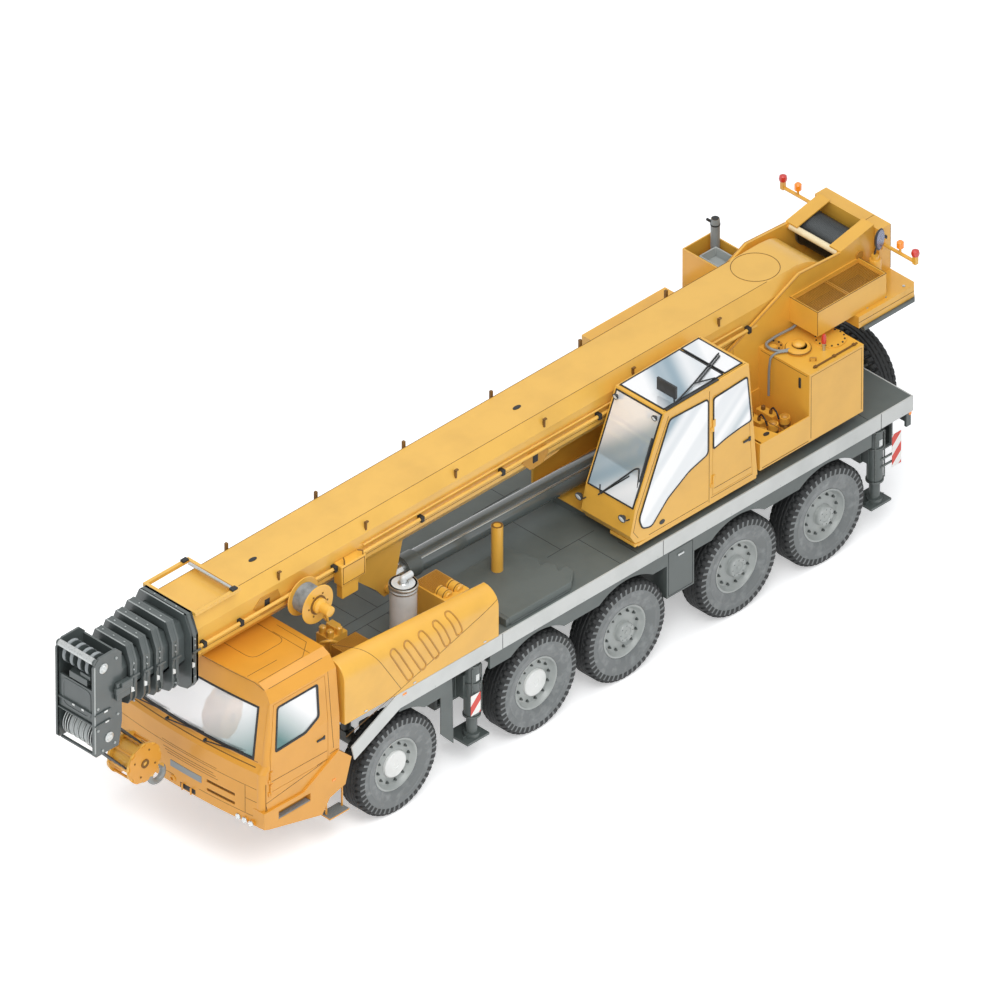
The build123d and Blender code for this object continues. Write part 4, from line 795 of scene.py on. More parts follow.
# the deck cover, whose rear edge is notched
NOTCHED = [(0.70, 1.43), (-0.45, 1.43), (-0.66, 1.27), (-0.67, 1.11), (-0.52, 1.125), (-0.59, 1.03), (-0.545, 0.885),
           (-0.435, 0.875), (-0.52, 0.755), (-0.41, 0.24), (0.70, 0.24)]
REAR_LAMP = [(0.05, 0.004), (0.05, -0.012), (0.035, -0.02)]
dress(
    "carrier",
    # painted shade: the darker ochre rims stand for the shade round each pressed louvre, and the dark crease beads for
    # the shade in the creases
    ("cover_louvre_shade_rims", OCHRE, 0, [louvre_rim(*ends, way) for way in WAYS for ends in RIM_LINES]),
    ("cover_crease_shade", SHADE_BROWN, 0, both(*bars(0.004, 6, *creases))),
    ("cover_latches", STEEL, 0.003, both(*[slab(x, x + 0.05, 1.497, 1.508, 1.93, 1.955) for x in (1.2, 2.5, 3.4)])),
    ("air_mesh", OCHRE, 0, mesh_panel(1.03, 1.43, 0.40, 0.76, 2.45, 0.024)),
    ("air_mesh_box", HOUSE_YELLOW, 0.006, [slab(1.01, 1.45, 0.38, 1.0, DECK_TOP, 2.445)]),
    ("air_filters", HOUSE_YELLOW, 0, [boss(spot, "y", [(0.085, 0.0), (0.085, 0.165), (0.06, 0.175), (0.055, 0.195)], 24)
                                      for spot in FILTERS]),
    ("air_filter_bands", SHADE_BROWN, 0, [band(spot, "y", 0.084, 0.088, y, y + 0.012, 24)
                                   for spot in FILTERS for y in (0.03, 0.14)]),
    ("deck_grate", OCHRE, 0, [*mesh_panel(2.78, 3.20, 0.66, 1.06, 2.46, 0.026),
                              slab(2.77, 3.21, 0.65, 1.07, DECK_TOP, 2.452)]),
    ("deck_valves", HOUSE_YELLOW, 0.006, [
        slab(2.77, 3.09, 0.24, 0.50, DECK_TOP, 2.40), slab(2.83, 2.95, 0.28, 0.44, 2.40, 2.50),
        *[boss((x, y, 2.40), "z", [(0.05, 0.0), (0.05, 0.09), (0.03, 0.11)], 16)
          for x, y in ((3.03, 0.30), (3.03, 0.44), (2.89, 0.46))], piped(valve_pipe, 0.022, 10)]),
    # silencer bands and cap, and the post's foot
    ("silencer_bands", STEEL, 0, [
        band(SILENCER, "z", 0.186, 0.193, 2.05, 2.08, 48), band(SILENCER, "z", 0.186, 0.193, 2.80, 2.818, 48),
        turned([(0.16, 2.9), (0.196, 2.9), (0.201, 2.885), (0.201, 2.865), (0.196, 2.855), (0.184, 2.855),
                (0.184, 2.899)], SILENCER, "z"),
        turned([(0.05, 2.9), (0.075, 2.9), (0.06, 2.915), (0.05, 2.915)], SILENCER, "z", 32)]),
    ("silencer_feet", DARK_GREY, 0.006, [slab(1.85, 2.12, 0.62, 0.88, DECK_TOP, 1.93)]),
    ("post_base", HOUSE_YELLOW, 0,
     [turned([(0.08, 1.93), (0.13, 1.93), (0.13, 1.945), (0.09, 1.96), (0.08, 1.99)], POST, "z", 32)]),
    ("post_cap", SHADE_BROWN, 0, [turned([(0.078, 2.742), (0.0795, 2.738), (0.05, 2.742)], POST, "z", 32)]),
    # deck: raised cover with a notched rear edge, plate seams
    ("deck_cover", DECK_GREY, 0.012, [panel(NOTCHED, "z", DECK_TOP, 2.025)]),
    ("deck_cover_edge", DARK_GREY, 0.006,
     slabs((0.70, 0.76, 0.9, 1.43, DECK_TOP, 2.02), (-0.42, 0.68, 1.43, 1.445, 1.905, 1.925))),
    ("deck_seams", SEAL, 0, [
        *both(*lines("z", DECK_TOP, *[[(x, 0.09), (x, 0.93)] for x in (2.0, 1.63)], [(2.42, 0.05), (2.42, 0.93)],
                     [(0.78, 0.09), (2.9, 0.09)], [(-0.75, 0.69), (-1.62, 0.69)], [(-1.66, 1.10), (-1.66, 1.47)],
                     [(-1.33, 0.69), (-1.33, 1.47)], [(-3.9, 0.6), (-3.9, 1.47)], radius=0.0035)),
        *lines("z", DECK_TOP, [(-1.0, -0.69), (-1.0, 0.69)], [(-5.98, -1.47), (-5.98, 1.47)], radius=0.0035)]),
    ("band_joints", SEAL, 0, both(*[slab(x - 0.004, x + 0.004, 1.4995, 1.502, 1.662, 1.899)
                                    for x in (0.893, -2.1, -6.2)])),
    ("band_bolts", STEEL, 0, bolts_at([(x, way * HALF_WIDTH, 1.69) for x in np.arange(-6.6, 2.6, 0.46)
                                       for way in WAYS], "y", 0.008, 0.005)),
    # lockers, mud guards, tanks and lamps low on the carrier
    ("locker_seams", SEAL, 0, both(*lines("y", 1.48, [(-2.67, 0.93), (-2.22, 0.93), (-2.22, 1.62), (-2.67, 1.62),
                                                      (-2.67, 0.93)]))),
    ("locker_handles", STEEL, 0.004, both(slab(-2.50, -2.39, 1.478, 1.497, 1.50, 1.53))),
    *[(f"front_guard_{side}", DARK_GREY, 0,
       [panel([(1.955, 1.66), (1.74, 1.66), (1.715, 0.50), (1.955, 0.77)], "y", way * 1.40, way * 1.41)])
      for side, way in SIDES.items()],
    ("rear_face", DARK_GREY, 0, both(slab(-6.812, -6.806, 0.55, 1.45, 1.40, 1.64),
                                     slab(-6.79, -6.7, 1.2, 1.24, 1.45, 1.7))),
    ("rear_lamps_red", RED, 0, both(*[boss((-6.812, y, 1.52), "x", REAR_LAMP, 20) for y in (1.36, 1.22)])),
    ("rear_lamps_amber", AMBER, 0, both(boss((-6.812, 1.08, 1.52), "x", REAR_LAMP, 20),
                                        boss((-6.77, 1.47, 1.63), "z", [(0.02, -0.03), (0.028, -0.01), (0.028, 0.03)],
                                             12))),
    ("spare_carrier", DARK_GREY, 0, bars(0.03, 10, *[
        [(-6.90, 0.03 + y, 1.44 + z), (-6.72, 0.03 + y * 0.6, 1.44 + z * 0.6)]
        for y, z in ((0.2, 0.2), (-0.2, 0.2), (0.0, -0.25))])),
    ("air_tanks", DARK_GREY, 0, both(*[
        boss((x, 0.62, 1.05), "x", [(0.08, -0.35), (0.13, -0.31), (0.13, 0.31), (0.08, 0.35)], 24)
        for x in (-0.6, 1.45)])),
    ("brake_chambers", CAST, 0, both(*[
        boss((x - 0.16, 0.72, 0.93), "x", [(0.05, -0.12), (0.085, -0.10), (0.085, 0.04), (0.05, 0.06)], 16)
        for x in AXLES])),
    ("drive_shafts", CAST, 0, bars(0.045, 12, *[[(back + 0.22, 0.0, 0.78), (front - 0.22, 0.0, 0.78)]
                                                for back, front in zip(AXLES[1:], AXLES)])),
)


def sloped(a, b, y0, y1, inner, outer):
    """A plate over the line from a to b in X and Z, carried across in Y; outwards is to the right of the line."""
    a, b = np.asarray(a, float), np.asarray(b, float)
    way = unit(b - a)
    out = np.array([way[1], -way[0]])
    return panel([a + out * inner, b + out * inner, b + out * outer, a + out * outer], "y", y0, y1)


def sloped_frame(a, b, y0, y1, width, inner, outer):
    """A frame of four bars round a sloped pane."""
    a, b = np.asarray(a, float), np.asarray(b, float)
    step = unit(b - a) * width
    return [sloped(*ends, inner, outer) for ends in (
        (a - step, a + step, y0 - width, y1 + width), (b - step, b + step, y0 - width, y1 + width),
        (a, b, y0 - width, y0 + width), (a, b, y1 - width, y1 + width))]


# Operator's cab: panes, seals, wipers, mirror, lamps, seat and seams
INNER_SIDE = 0.56
PANES = [((-1.604, 2.63), (-2.135, 3.875), 0.60, 1.43), ((-2.20, 3.9107), (-3.30, 3.9246), 0.60, 1.40),
         ((-3.34, 3.9252), (-3.66, 3.9292), 0.60, 1.40), ((-3.746, 3.65), (-3.806, 3.00), 0.64, 1.39)]
SIDE_PANE = [(-2.955, 3.74), (-2.24, 3.77), (-1.672, 2.44), (-1.73, 2.27), (-1.90, 2.22), (-2.2, 2.52), (-2.6, 2.76),
             (-2.955, 2.86)]
REAR_PANE = [(-3.06, 3.70), (-3.685, 3.735), (-3.765, 3.0), (-3.55, 2.985), (-3.3, 2.95), (-3.06, 2.89)]
glass = [sloped(*pane, 0.001, 0.008) for pane in PANES]
seals = [part for pane in PANES for part in sloped_frame(*pane, 0.010, -0.002, 0.013)]
for face, out in ((CAB_SIDE, 1), (INNER_SIDE, -1)):
    glass.append(panel(rounded(SIDE_PANE, 0.06), "y", face + out * 0.001, face + out * 0.008))
    seals.append(hoop(rounded(drawn_in(SIDE_PANE, -0.010), 0.06), rounded(drawn_in(SIDE_PANE, 0.008), 0.06), "y",
                      face - out * 0.002, face + out * 0.013))
# each wiper part is a path and a radius
WIPER_PARTS = [
    (eased([(-1.70, 1.41, 2.84), (-1.80, 1.35, 3.14), (-1.785, 1.28, 3.10), (-1.555, 0.83, 2.58)], 0.03, 3), 0.011),
    (eased([(-1.62, 0.80, 2.70), (-1.58, 0.84, 2.585), (-1.74, 1.22, 2.98)], 0.02, 3), 0.010),
    ([(-1.98, 1.405, 3.56), (-1.74, 1.415, 2.98)], 0.014), ([(-1.955, 1.43, 3.44), (-1.655, 1.44, 2.78)], 0.012),
    (eased([(-2.25, 1.44, 3.935), (-2.45, 1.415, 3.945), (-2.86, 1.30, 3.955), (-3.59, 1.04, 3.95)], 0.03, 3), 0.013),
    ([(-2.86, 1.30, 3.955), (-3.16, 1.40, 3.945)], 0.010), ([(-2.93, 1.315, 3.948), (-3.56, 1.09, 3.948)], 0.012),
]
LAMP_AIM = (1.0, 0.0, -0.25)
shells, lenses = [], []
for (x, y, z), r in (((-1.42, 0.60, 2.50), 0.062), ((-1.42, 1.40, 2.54), 0.062),
                     ((-2.04, 0.66, 3.83), 0.045), ((-2.04, 1.38, 3.84), 0.045)):
    shells += [turned([(r * 0.3, -r), (r * 0.95, -r * 0.35), (r, 0.0), (r * 0.9, 0.012), (r * 0.86, 0.0),
                       (r * 0.5, -r * 0.6)], (x, y, z), LAMP_AIM, 24),
               piped([(x - 0.03, y, z - r), (x - 0.16, y, z - r - 0.02)], 0.01, 6)]
    lenses.append(boss((x, y, z), LAMP_AIM, [(r * 0.86, -0.006), (r * 0.84, 0.004), (r * 0.5, 0.014)], 20))
dress("superstructure", ("operator_glass", SIDE_GLASS, 0, glass), ("operator_seals", SEAL, 0, seals))
dress(
    "operator_door",
    ("operator_door_glass", SIDE_GLASS, 0, [panel(rounded(REAR_PANE, 0.04), "y", 1.471, 1.478)]),
    ("operator_door_seal", SEAL, 0, [hoop(rounded(drawn_in(REAR_PANE, -0.010), 0.04),
                                          rounded(drawn_in(REAR_PANE, 0.008), 0.04), "y", 1.468, 1.483)]),
    ("operator_door_handle", PLASTIC, 0.005,
     slabs((-3.74, -3.62, 1.47, 1.487, 2.70, 2.73), (-3.76, -3.72, 1.468, 1.482, 2.68, 2.75))),
    ("operator_door_line", SHADE_BROWN, 0, lines("y", CAB_SIDE, [(-3.775, 2.24), (-3.08, 2.24)])),
)
dress(
    "superstructure",
    ("operator_wipers", PLASTIC, 0, [*[piped(path, radius, 6) for path, radius in WIPER_PARTS],
                                     slab(-3.18, -2.20, 1.425, 1.455, 3.912, 3.94)]),
    ("operator_mirror", PLASTIC, 0.014, [
        slab(-2.435, -2.40, 1.07, 1.42, 3.98, 4.17),
        piped([(-2.41, 1.38, 3.99), (-2.40, 1.40, 3.93), (-2.30, 1.44, 3.91)], 0.012, 8)]),
    ("operator_lamps", PLASTIC, 0, shells),
    ("operator_lamp_glass", CLEAR, 0, lenses),
    ("operator_vent", PLASTIC, 0, [panel(oval(-2.105, 2.19, 0.05, 0.035), "y", 1.465, 1.476)]),
    ("operator_cab_seams", SHADE_BROWN, 0, [
        *lines("y", CAB_SIDE, [(-2.985, 3.85), (-2.985, 2.06)], [(-2.22, 3.83), (-1.64, 2.56)],
               [(-1.64, 2.56), (-1.57, 2.28), (-1.66, 2.15)], [(-3.80, 2.115), (-3.02, 2.115)],
               [(-1.86, 2.10), (-2.96, 2.10)]),
        *lines("x", -1.585, [(0.60, 2.54), (1.43, 2.54)]), *lines("x", -1.535, [(0.60, 2.32), (1.43, 2.32)]),
        *[bead for y in (0.60, 1.43) for bead in lines("y", y, [(-3.70, 3.93), (-2.17, 3.91), (-1.63, 2.64)])]]),
    ("operator_sill", HOUSE_YELLOW, 0.008,
     slabs((-3.88, -1.66, 1.395, 1.468, 2.005, 2.06), (-1.66, -1.60, 1.0, 1.468, 2.02, 2.07))),
)
seat = make("operator_seat", slabs((-3.05, -2.52, 0.78, 1.26, 2.50, 2.62), (-3.12, -2.99, 0.78, 1.26, 2.60, 3.22),
                                   (-3.10, -3.01, 0.88, 1.16, 3.23, 3.42)), SEAT_CLOTH, "superstructure", 0.04)

# Machine house, valve tray and mesh box: places, pipes, the row of small valves and the coil of hose
DOME = (-5.21, 0.92, 0.0)
CROWN = (-5.23, 0.91, 0.0)
BEACON = (-5.44, 1.17, 0.0)
house_pipe = eased([(-5.56, 0.58, 3.28), (-5.50, 0.57, 3.20), (-5.16, 0.56, 3.21), (-4.93, 0.575, 3.205),
                    (-4.90, 0.70, 3.20), (-4.97, 0.83, 3.19), (-5.10, 0.88, 3.19)], 0.07)
drop_pipe = eased([(-5.07, 0.90, 3.185), (-4.92, 0.80, 3.18), (-4.85, 0.76, 3.12), (-4.845, 0.74, 2.9),
                   (-4.84, 0.74, 2.5)], 0.05)
valves, caps, hoses = [], [], []
for x in (-4.70, -4.48, -4.26, -4.08):
    valves += [band((x, 1.18, 0.0), "z", 0.071, 0.078, 2.32, 2.36, 20),
               boss((x, 0.78, 2.37), "z", [(0.03, 0.0), (0.03, 0.05), (0.015, 0.06)], 10),
               boss((x, 0.92, 2.37), "z", [(0.024, 0.0), (0.024, 0.04), (0.012, 0.07)], 10)]
    caps.append(boss((x, 1.18, 2.43), "z", [(0.055, 0.0), (0.055, 0.03), (0.03, 0.05)], 16))
    hoses.append(piped(eased([(x, 0.92, 2.42), (x, 0.96, 2.49), (x + 0.05, 1.08, 2.49), (x + 0.05, 1.12, 2.40)],
                             0.04, 4), 0.012, 8))
valves += [boss((x, 1.30, 2.30), "z", [(0.03, -0.2), (0.03, 0.08), (0.018, 0.10)], 12) for x in (-4.60, -4.38, -4.16)]
turn = np.linspace(0, 2 * np.pi, 20, endpoint=False)
coil = [np.stack([-6.80 - 0.09 * np.sin(turn), 0.78 + 0.02 * k + 0.10 * np.cos(turn), 3.40 + 0.10 * np.sin(turn)], 1)
        for k in range(3)]

# Tail: places, the outline of the weight's base, and the wound rope's surface
TAIL_X = -7.275
PLATE_Y = 0.51
CAN = (-6.92, 0.66, 0.0)
MIRROR = (-6.97, 0.70, 3.95)
MIRROR_AIM = (-0.35, 0.90, 0.10)
DRUM = (-6.77, 0.0, 3.70)
STACK = (-5.69, -1.1, 0.0)
PLATE_PINS = [(-5.775, 3.35), (-3.675, 2.25), (-6.77, 3.70)]
BASE_EDGE = [(-7.20, 1.13), (-7.265, 1.06)]
BASE_NOTCH = [(-6.44, -0.54), (-6.25, -0.54), (-6.25, -1.13)]
weight_outline = [*[(x, -y) for x, y in BASE_EDGE], *BASE_EDGE[::-1], *[(x, -y) for x, y in BASE_NOTCH[::-1]],
                  *BASE_NOTCH]
turns = np.arange(-0.388, 0.389, 0.006)
wound = np.stack([0.243 + 0.007 * np.abs(np.cos(turns / 0.024 * np.pi)), turns], 1)
bin_tray = [(-5.62, -1.02), (-5.30, -1.02), (-5.30, -0.64), (-5.62, -0.64)]
dress(
    "superstructure",
    ("operator_seat_base", PLASTIC, 0.012, [
        *slabs((-3.0, -2.6, 0.84, 1.20, 2.11, 2.505), (-2.98, -2.48, 0.68, 0.76, 2.60, 2.76),
               (-2.98, -2.48, 1.28, 1.36, 2.60, 2.76), (-1.98, -1.86, 0.70, 0.98, 2.6, 2.85)),
        *bars(0.016, 8, *[[(-2.52, y, 2.76), (-2.50, y, 2.90)] for y in (0.72, 1.32)]),
        piped([(-1.92, 0.84, 2.11), (-1.92, 0.84, 2.62)], 0.03, 8)]),
    ("house_bolts", SEAL, 0, bolts_at([*round_spots((-5.68, 1.05, 3.17), "z", 0.195, 14),
                                       *round_spots((-5.03, 0.64, 3.165), "z", 0.10, 8)], "z", 0.013, 0.012)),
    ("house_ring", OCHRE, 0, [band((-5.03, 0.64, 0.0), "z", 0.055, 0.13, 3.15, 3.164)]),
    ("house_dome", HOUSE_YELLOW, 0, [
        turned([(0.0, 3.21), (0.12, 3.21), (0.165, 3.20), (0.175, 3.18), (0.165, 3.155), (0.0, 3.15)], DOME, "z", 40),
        turned([(0.0, 3.27), (0.05, 3.262), (0.085, 3.24), (0.09, 3.20), (0.0, 3.20)], CROWN, "z", 32)]),
    ("house_dome_bands", SHADE_BROWN, 0, [band(DOME, "z", 0.166, 0.179, 3.176, 3.187, 40),
                                   band(CROWN, "z", 0.088, 0.094, 3.215, 3.224)]),
    ("house_beacon_foot", STEEL, 0, [boss(BEACON, "z", [(0.022, 3.15), (0.022, 3.24), (0.03, 3.25), (0.03, 3.27)],
                                          20)]),
    ("house_beacon", RED, 0, [turned([(0.0, 3.265), (0.034, 3.265), (0.036, 3.30), (0.032, 3.36), (0.02, 3.40),
                                      (0.0, 3.405)], BEACON, "z", 24)]),
    ("house_hinge", SHADE_BROWN, 0, slabs((-5.86, -5.04, 1.36, 1.385, 3.148, 3.166),
                                   *[(x, x + 0.04, 1.35, 1.395, 3.148, 3.172) for x in (-5.82, -5.45, -5.10)])),
    ("house_lifting_eye", OCHRE, 0,
     [piped([(-5.13, 1.22, 3.15), (-5.13, 1.22, 3.20), (-5.19, 1.27, 3.20), (-5.19, 1.27, 3.15)], 0.012, 8)]),
    ("house_handle", PLASTIC, 0.006, [slab(-4.888, -4.868, 1.26, 1.295, 2.87, 3.03)]),
    # painted shade in the machine house's panel seams
    ("house_seams", SHADE_BROWN, 0, [
        *lines("y", 1.45, [(-5.87, 2.12), (-5.87, 3.11), (-4.92, 3.11), (-4.92, 2.12)]),
        *lines("x", -5.905, [(0.55, 3.0), (1.41, 3.0)]), *lines("x", -4.886, [(0.55, 3.11), (1.41, 3.11)])]),
    ("house_pipes", BOARD_GREY, 0, [piped(house_pipe, 0.019, 10), piped(drop_pipe, 0.017, 10)]),
    ("valve_bodies", SHADE_BROWN, 0, valves),
    ("valve_caps", OCHRE, 0, caps),
    ("valve_hoses", SEAL, 0, hoses),
    ("tray_plate", HOUSE_YELLOW, 0,
     [panel([(-4.32, 1.43), (-4.02, 1.43), (-4.02, 0.95), (-4.20, 1.0)], "z", 2.47, 2.485)]),
    ("tray_plug", SEAL, 0, [panel(oval(-4.20, 1.33, 0.05, 0.03), "z", 2.485, 2.497)]),
    ("tray_seams", SHADE_BROWN, 0, [*lines("y", 1.452, [(-4.87, 2.10), (-4.0, 2.10)]),
                             *lines("x", -4.42, [(1.0, 2.485), (1.43, 2.485)])]),
    ("mesh_lids", OCHRE, 0, mesh_panel(-6.735, -6.125, 0.53, 1.01, 3.60, 0.026)
     + mesh_panel(-6.095, -5.483, 0.53, 1.01, 3.60, 0.026)),
    ("mesh_frames", OCHRE, 0, [
        hoop([(x0, 0.531), (x1, 0.531), (x1, 1.009), (x0, 1.009)],
             [(x0 + 0.02, 0.551), (x1 - 0.02, 0.551), (x1 - 0.02, 0.989), (x0 + 0.02, 0.989)], "z", 3.595, 3.62)
        for x0, x1 in ((-6.736, -6.115), (-6.105, -5.482))]),
    # painted shade: a dark brown slab under the mesh lids stands for the shade inside the box
    ("mesh_box_shade_floor", SHADE_BROWN, 0, [slab(-6.735, -5.483, 0.532, 1.008, 3.30, 3.42)]),
    ("mesh_box_rim", SHADE_BROWN, 0, [
        *lines("z", 3.67, [(-5.462, 0.51), (-5.462, 1.03), (-6.757, 1.03), (-6.757, 0.51)], radius=0.006),
        *lines("x", -5.463, [(1.03, 3.66), (1.03, 3.29)])]),
    ("rear_hose_coil", OCHRE, 0, [piped(loop, 0.012, 8, True) for loop in coil]),
    ("rear_can", HOUSE_YELLOW, 0, [
        turned([(0.0, 3.28), (0.085, 3.28), (0.085, 3.62), (0.075, 3.64), (0.0, 3.64)], CAN, "z", 28),
        boss(CAN, "z", [(0.05, 3.70), (0.055, 3.64)], 28)]),
    ("rear_mirror_shell", PLASTIC, 0, [
        turned([(0.0, -0.035), (0.12, -0.03), (0.15, 0.0), (0.135, 0.008), (0.0, 0.006)], MIRROR, MIRROR_AIM, 32),
        piped([(-6.93, 0.64, 3.70), (-6.96, 0.68, 3.93)], 0.014, 8)]),
    ("rear_mirror_glass", BLUE_GLASS, 0, [boss(MIRROR, MIRROR_AIM, [(0.128, 0.008), (0.128, 0.012)])]),
    ("lamp_bars", HOUSE_YELLOW, 0.004, both(
        piped([(-7.10, 0.58, 3.78), (-7.10, 1.24, 3.78)], 0.026, 10), slab(-7.14, -7.06, 0.56, 0.66, 3.71, 3.85),
        piped([(-7.10, 0.95, 3.78), (-7.10, 0.95, 3.87)], 0.018, 8), slab(-7.13, -7.07, 1.20, 1.26, 3.75, 3.88))),
    ("lamp_bar_red", RED, 0, both(boss((-7.10, 1.23, 3.87), "z", [
        (0.03, 0.0), (0.05, 0.015), (0.06, 0.05), (0.05, 0.09), (0.02, 0.11)], 20))),
    ("lamp_bar_amber", AMBER, 0, both(boss((-7.10, 0.95, 3.87), "z", [
        (0.035, 0.0), (0.05, 0.01), (0.05, 0.09), (0.03, 0.11)], 20))),
    ("weight_base", DARK_GREY, 0.008, [panel(weight_outline, "z", 3.035, 3.098)]),
    ("weight_feet", CAST, 0, both(*[slab(x, x + 0.12, 0.90, 1.02, 3.032, 3.06) for x in (-6.42, -7.0)])),
    ("weight_lines", SHADE_BROWN, 0, [
        *lines("x", TAIL_X, [(-0.60, 3.30), (-0.60, 3.99), (0.60, 3.99), (0.60, 3.30)], [(-1.03, 3.19), (1.03, 3.19)]),
        *lines("z", 4.0, [(-7.07, 0.30), (-7.27, 0.30)]), *both(*lines("z", 3.19, [(-7.22, 1.1), (-6.18, 1.1)]))]),
    ("weight_sockets", SEAL, 0, [
        *both(boss((-7.16, 0.603, 3.83), "y", [(0.045, -0.004), (0.045, 0.006), (0.03, 0.008)], 16)),
        *both(boss((-7.277, 0.35, 3.62), "x", [(0.05, 0.004), (0.05, -0.004)], 20))]),
    ("weight_bolts", STEEL, 0, both(*bolts_at([(x, 1.02, 3.28) for x in (-7.1, -6.75, -6.4)], "z", 0.022, 0.014))),
    ("guide_roller", CREAM, 0, [band((-6.45, 0.0, 3.855), "y", 0.02, 0.0485, -0.44, 0.44, 24)]),
    ("side_plate_bolts", OCHRE, 0,
     bolts_at([(x, way * PLATE_Y, z) for x, z in PLATE_PINS for way in WAYS], "y", 0.07, 0.02)),
    ("side_plate_ribs", OCHRE, 0, both(
        *lines("y", PLATE_Y, [(-2.1, 2.345), (-4.32, 3.345), (-5.65, 3.945), (-6.40, 3.90)], radius=0.010),
        *lines("y", PLATE_Y, [(-4.4, 2.2), (-4.4, 3.35)], [(-3.2, 2.1), (-3.2, 2.80)], radius=0.006))),
    # right side: hood doors, stack, tray of the bin
    ("hood_seams", SHADE_BROWN, 0, lines("y", -1.45, *[[(x0, 2.12), (x0, 2.98), (x1, 2.98), (x1, 2.12), (x0, 2.12)]
                                                for x0, x1 in ((-5.06, -4.34), (-4.30, -3.58))])),
    ("hood_handles", PLASTIC, 0.006, [slab(x, x + 0.05, -1.468, -1.448, 2.55, 2.67) for x in (-4.42, -4.28)]),
    ("hood_louvres", HOUSE_YELLOW, 0.004, [slab(x, x + 0.5, -1.462, -1.448, z, z + 0.02)
                                           for x in (-4.95, -4.2) for z in np.arange(2.2, 2.46, 0.05)]),
    ("stack_sleeve", BOARD_GREY, 0,
     [turned([(0.053, 3.50), (0.064, 3.50), (0.064, 4.00), (0.058, 4.033), (0.053, 4.033)], STACK, "z", 28)]),
    ("stack_cap", SEAL, 0, [boss(STACK, "z", [(0.050, 4.034), (0.050, 4.04)], 24),
                            band(STACK, "z", 0.062, 0.069, 3.93, 3.95, 24),
                            piped([(-5.66, -1.13, 3.97), (-5.60, -1.17, 4.03)], 0.02, 8)]),
    ("bin_tray", EDGE_GREY, 0.008, [
        hoop(bin_tray, drawn_in(bin_tray, 0.02), "z", 3.50, 3.66), panel(drawn_in(bin_tray, 0.01), "z", 3.50, 3.515),
        slab(-5.60, -5.32, -0.84, -0.82, 2.78, 3.50)]),
)
dress(
    "winch_drum",
    ("drum_rope", ROPE_DARK, 0, [turned(wound, DRUM, "y", 64, False)]),
    ("drum_flange_bolts", STEEL, 0, bolts_at(
        [spot + [0, way * 0.43, 0] for spot in round_spots(DRUM, "y", 0.10, 6, np.pi / 2) for way in WAYS],
        "y", 0.012, 0.008)),
)


# Boom
def tube_ring(half, low, high, squarer=0.0):
    """The boom's outline in Y and Z: cut upper corners, and lower corners drawn in, or squarer."""
    tall = high - low
    right = [(half * 0.78, high), (half, high - tall * 0.24), (half, low + tall * (0.3 - 0.17 * squarer)),
             (half * (0.66 + 0.2 * squarer), low + tall * (0.08 - 0.05 * squarer)),
             (half * (0.3 + 0.3 * squarer), low)]
    return [(-y, z) for y, z in right[::-1]] + right


# each collar's front X, half width, bottom and top
COLLARS = [(5.67, 0.54, 2.88, 4.06), (5.95, 0.465, 2.95, 4.05), (6.195, 0.418, 2.99, 4.03), (6.40, 0.392, 3.02, 4.00),
           (6.615, 0.366, 3.05, 3.97)]
for number, (front, half, low, high) in enumerate(COLLARS):
    drawn = 0.03 * number
    outer = tube_ring(half + 0.004, low - 0.003, high + 0.003, 1.0)
    wall = tube_ring(half - 0.02, low + 0.02, high - 0.02, 1.0)
    inner = tube_ring(0.452 - drawn, 3.068 + drawn, 3.962 - drawn)
    parts = [hoop(outer, inner, "x", front - 0.123, front - 0.085),
             hoop(outer, inner, "x", front - 0.035, front + 0.003),
             hoop(wall, inner, "x", front - 0.09, front - 0.03)]
    if number == 0:
        parts += [hoop(outer, inner, "x", front - 0.124, front + 0.004),
                  hoop(outer, tube_ring(0.425, 3.095, 3.935), "x", front + 0.001, front + 0.006)]
    parts += both(*slabs((front - 0.16, front + 0.004, half, half + 0.022, 3.50, 3.53),
                         (front - 0.02, front + 0.004, half, half + 0.022, 3.44, 3.53),
                         (front - 0.08, front - 0.06, half, half + 0.012, low + 0.24, high - 0.30)))
    pad = [(front - 0.078, 3.32), (front - 0.012, 3.37), (front - 0.012, 3.28), (front - 0.078, 3.27)]
    dress(
        "boom_base" if number == 0 else f"boom_section_{number}",
        (f"collar_{number}", BOOM_GREY, 0.005, parts),
        # painted highlight: a light grey strip along each collar's top front edge
        (f"collar_edge_highlight_{number}", EDGE_GREY, 0.003,
         [slab(front - 0.008, front + 0.008, -half * 0.74, half * 0.74, high + 0.002, high + 0.014)]),
        (f"collar_pads_{number}", CAP_WHITE, 0, both(panel(pad, "y", half, half + 0.008))),
        (f"collar_bolts_{number}", EDGE_GREY, 0,
         bolts_at([(front - 0.06, way * (half + 0.002), z) for z in (3.12, 3.62, 3.72) for way in WAYS],
                  "y", height=0.012)
         + bolts_at([(front - 0.06, y, high) for y in (-0.2, 0.0, 0.2)], "z", height=0.012)),
    )

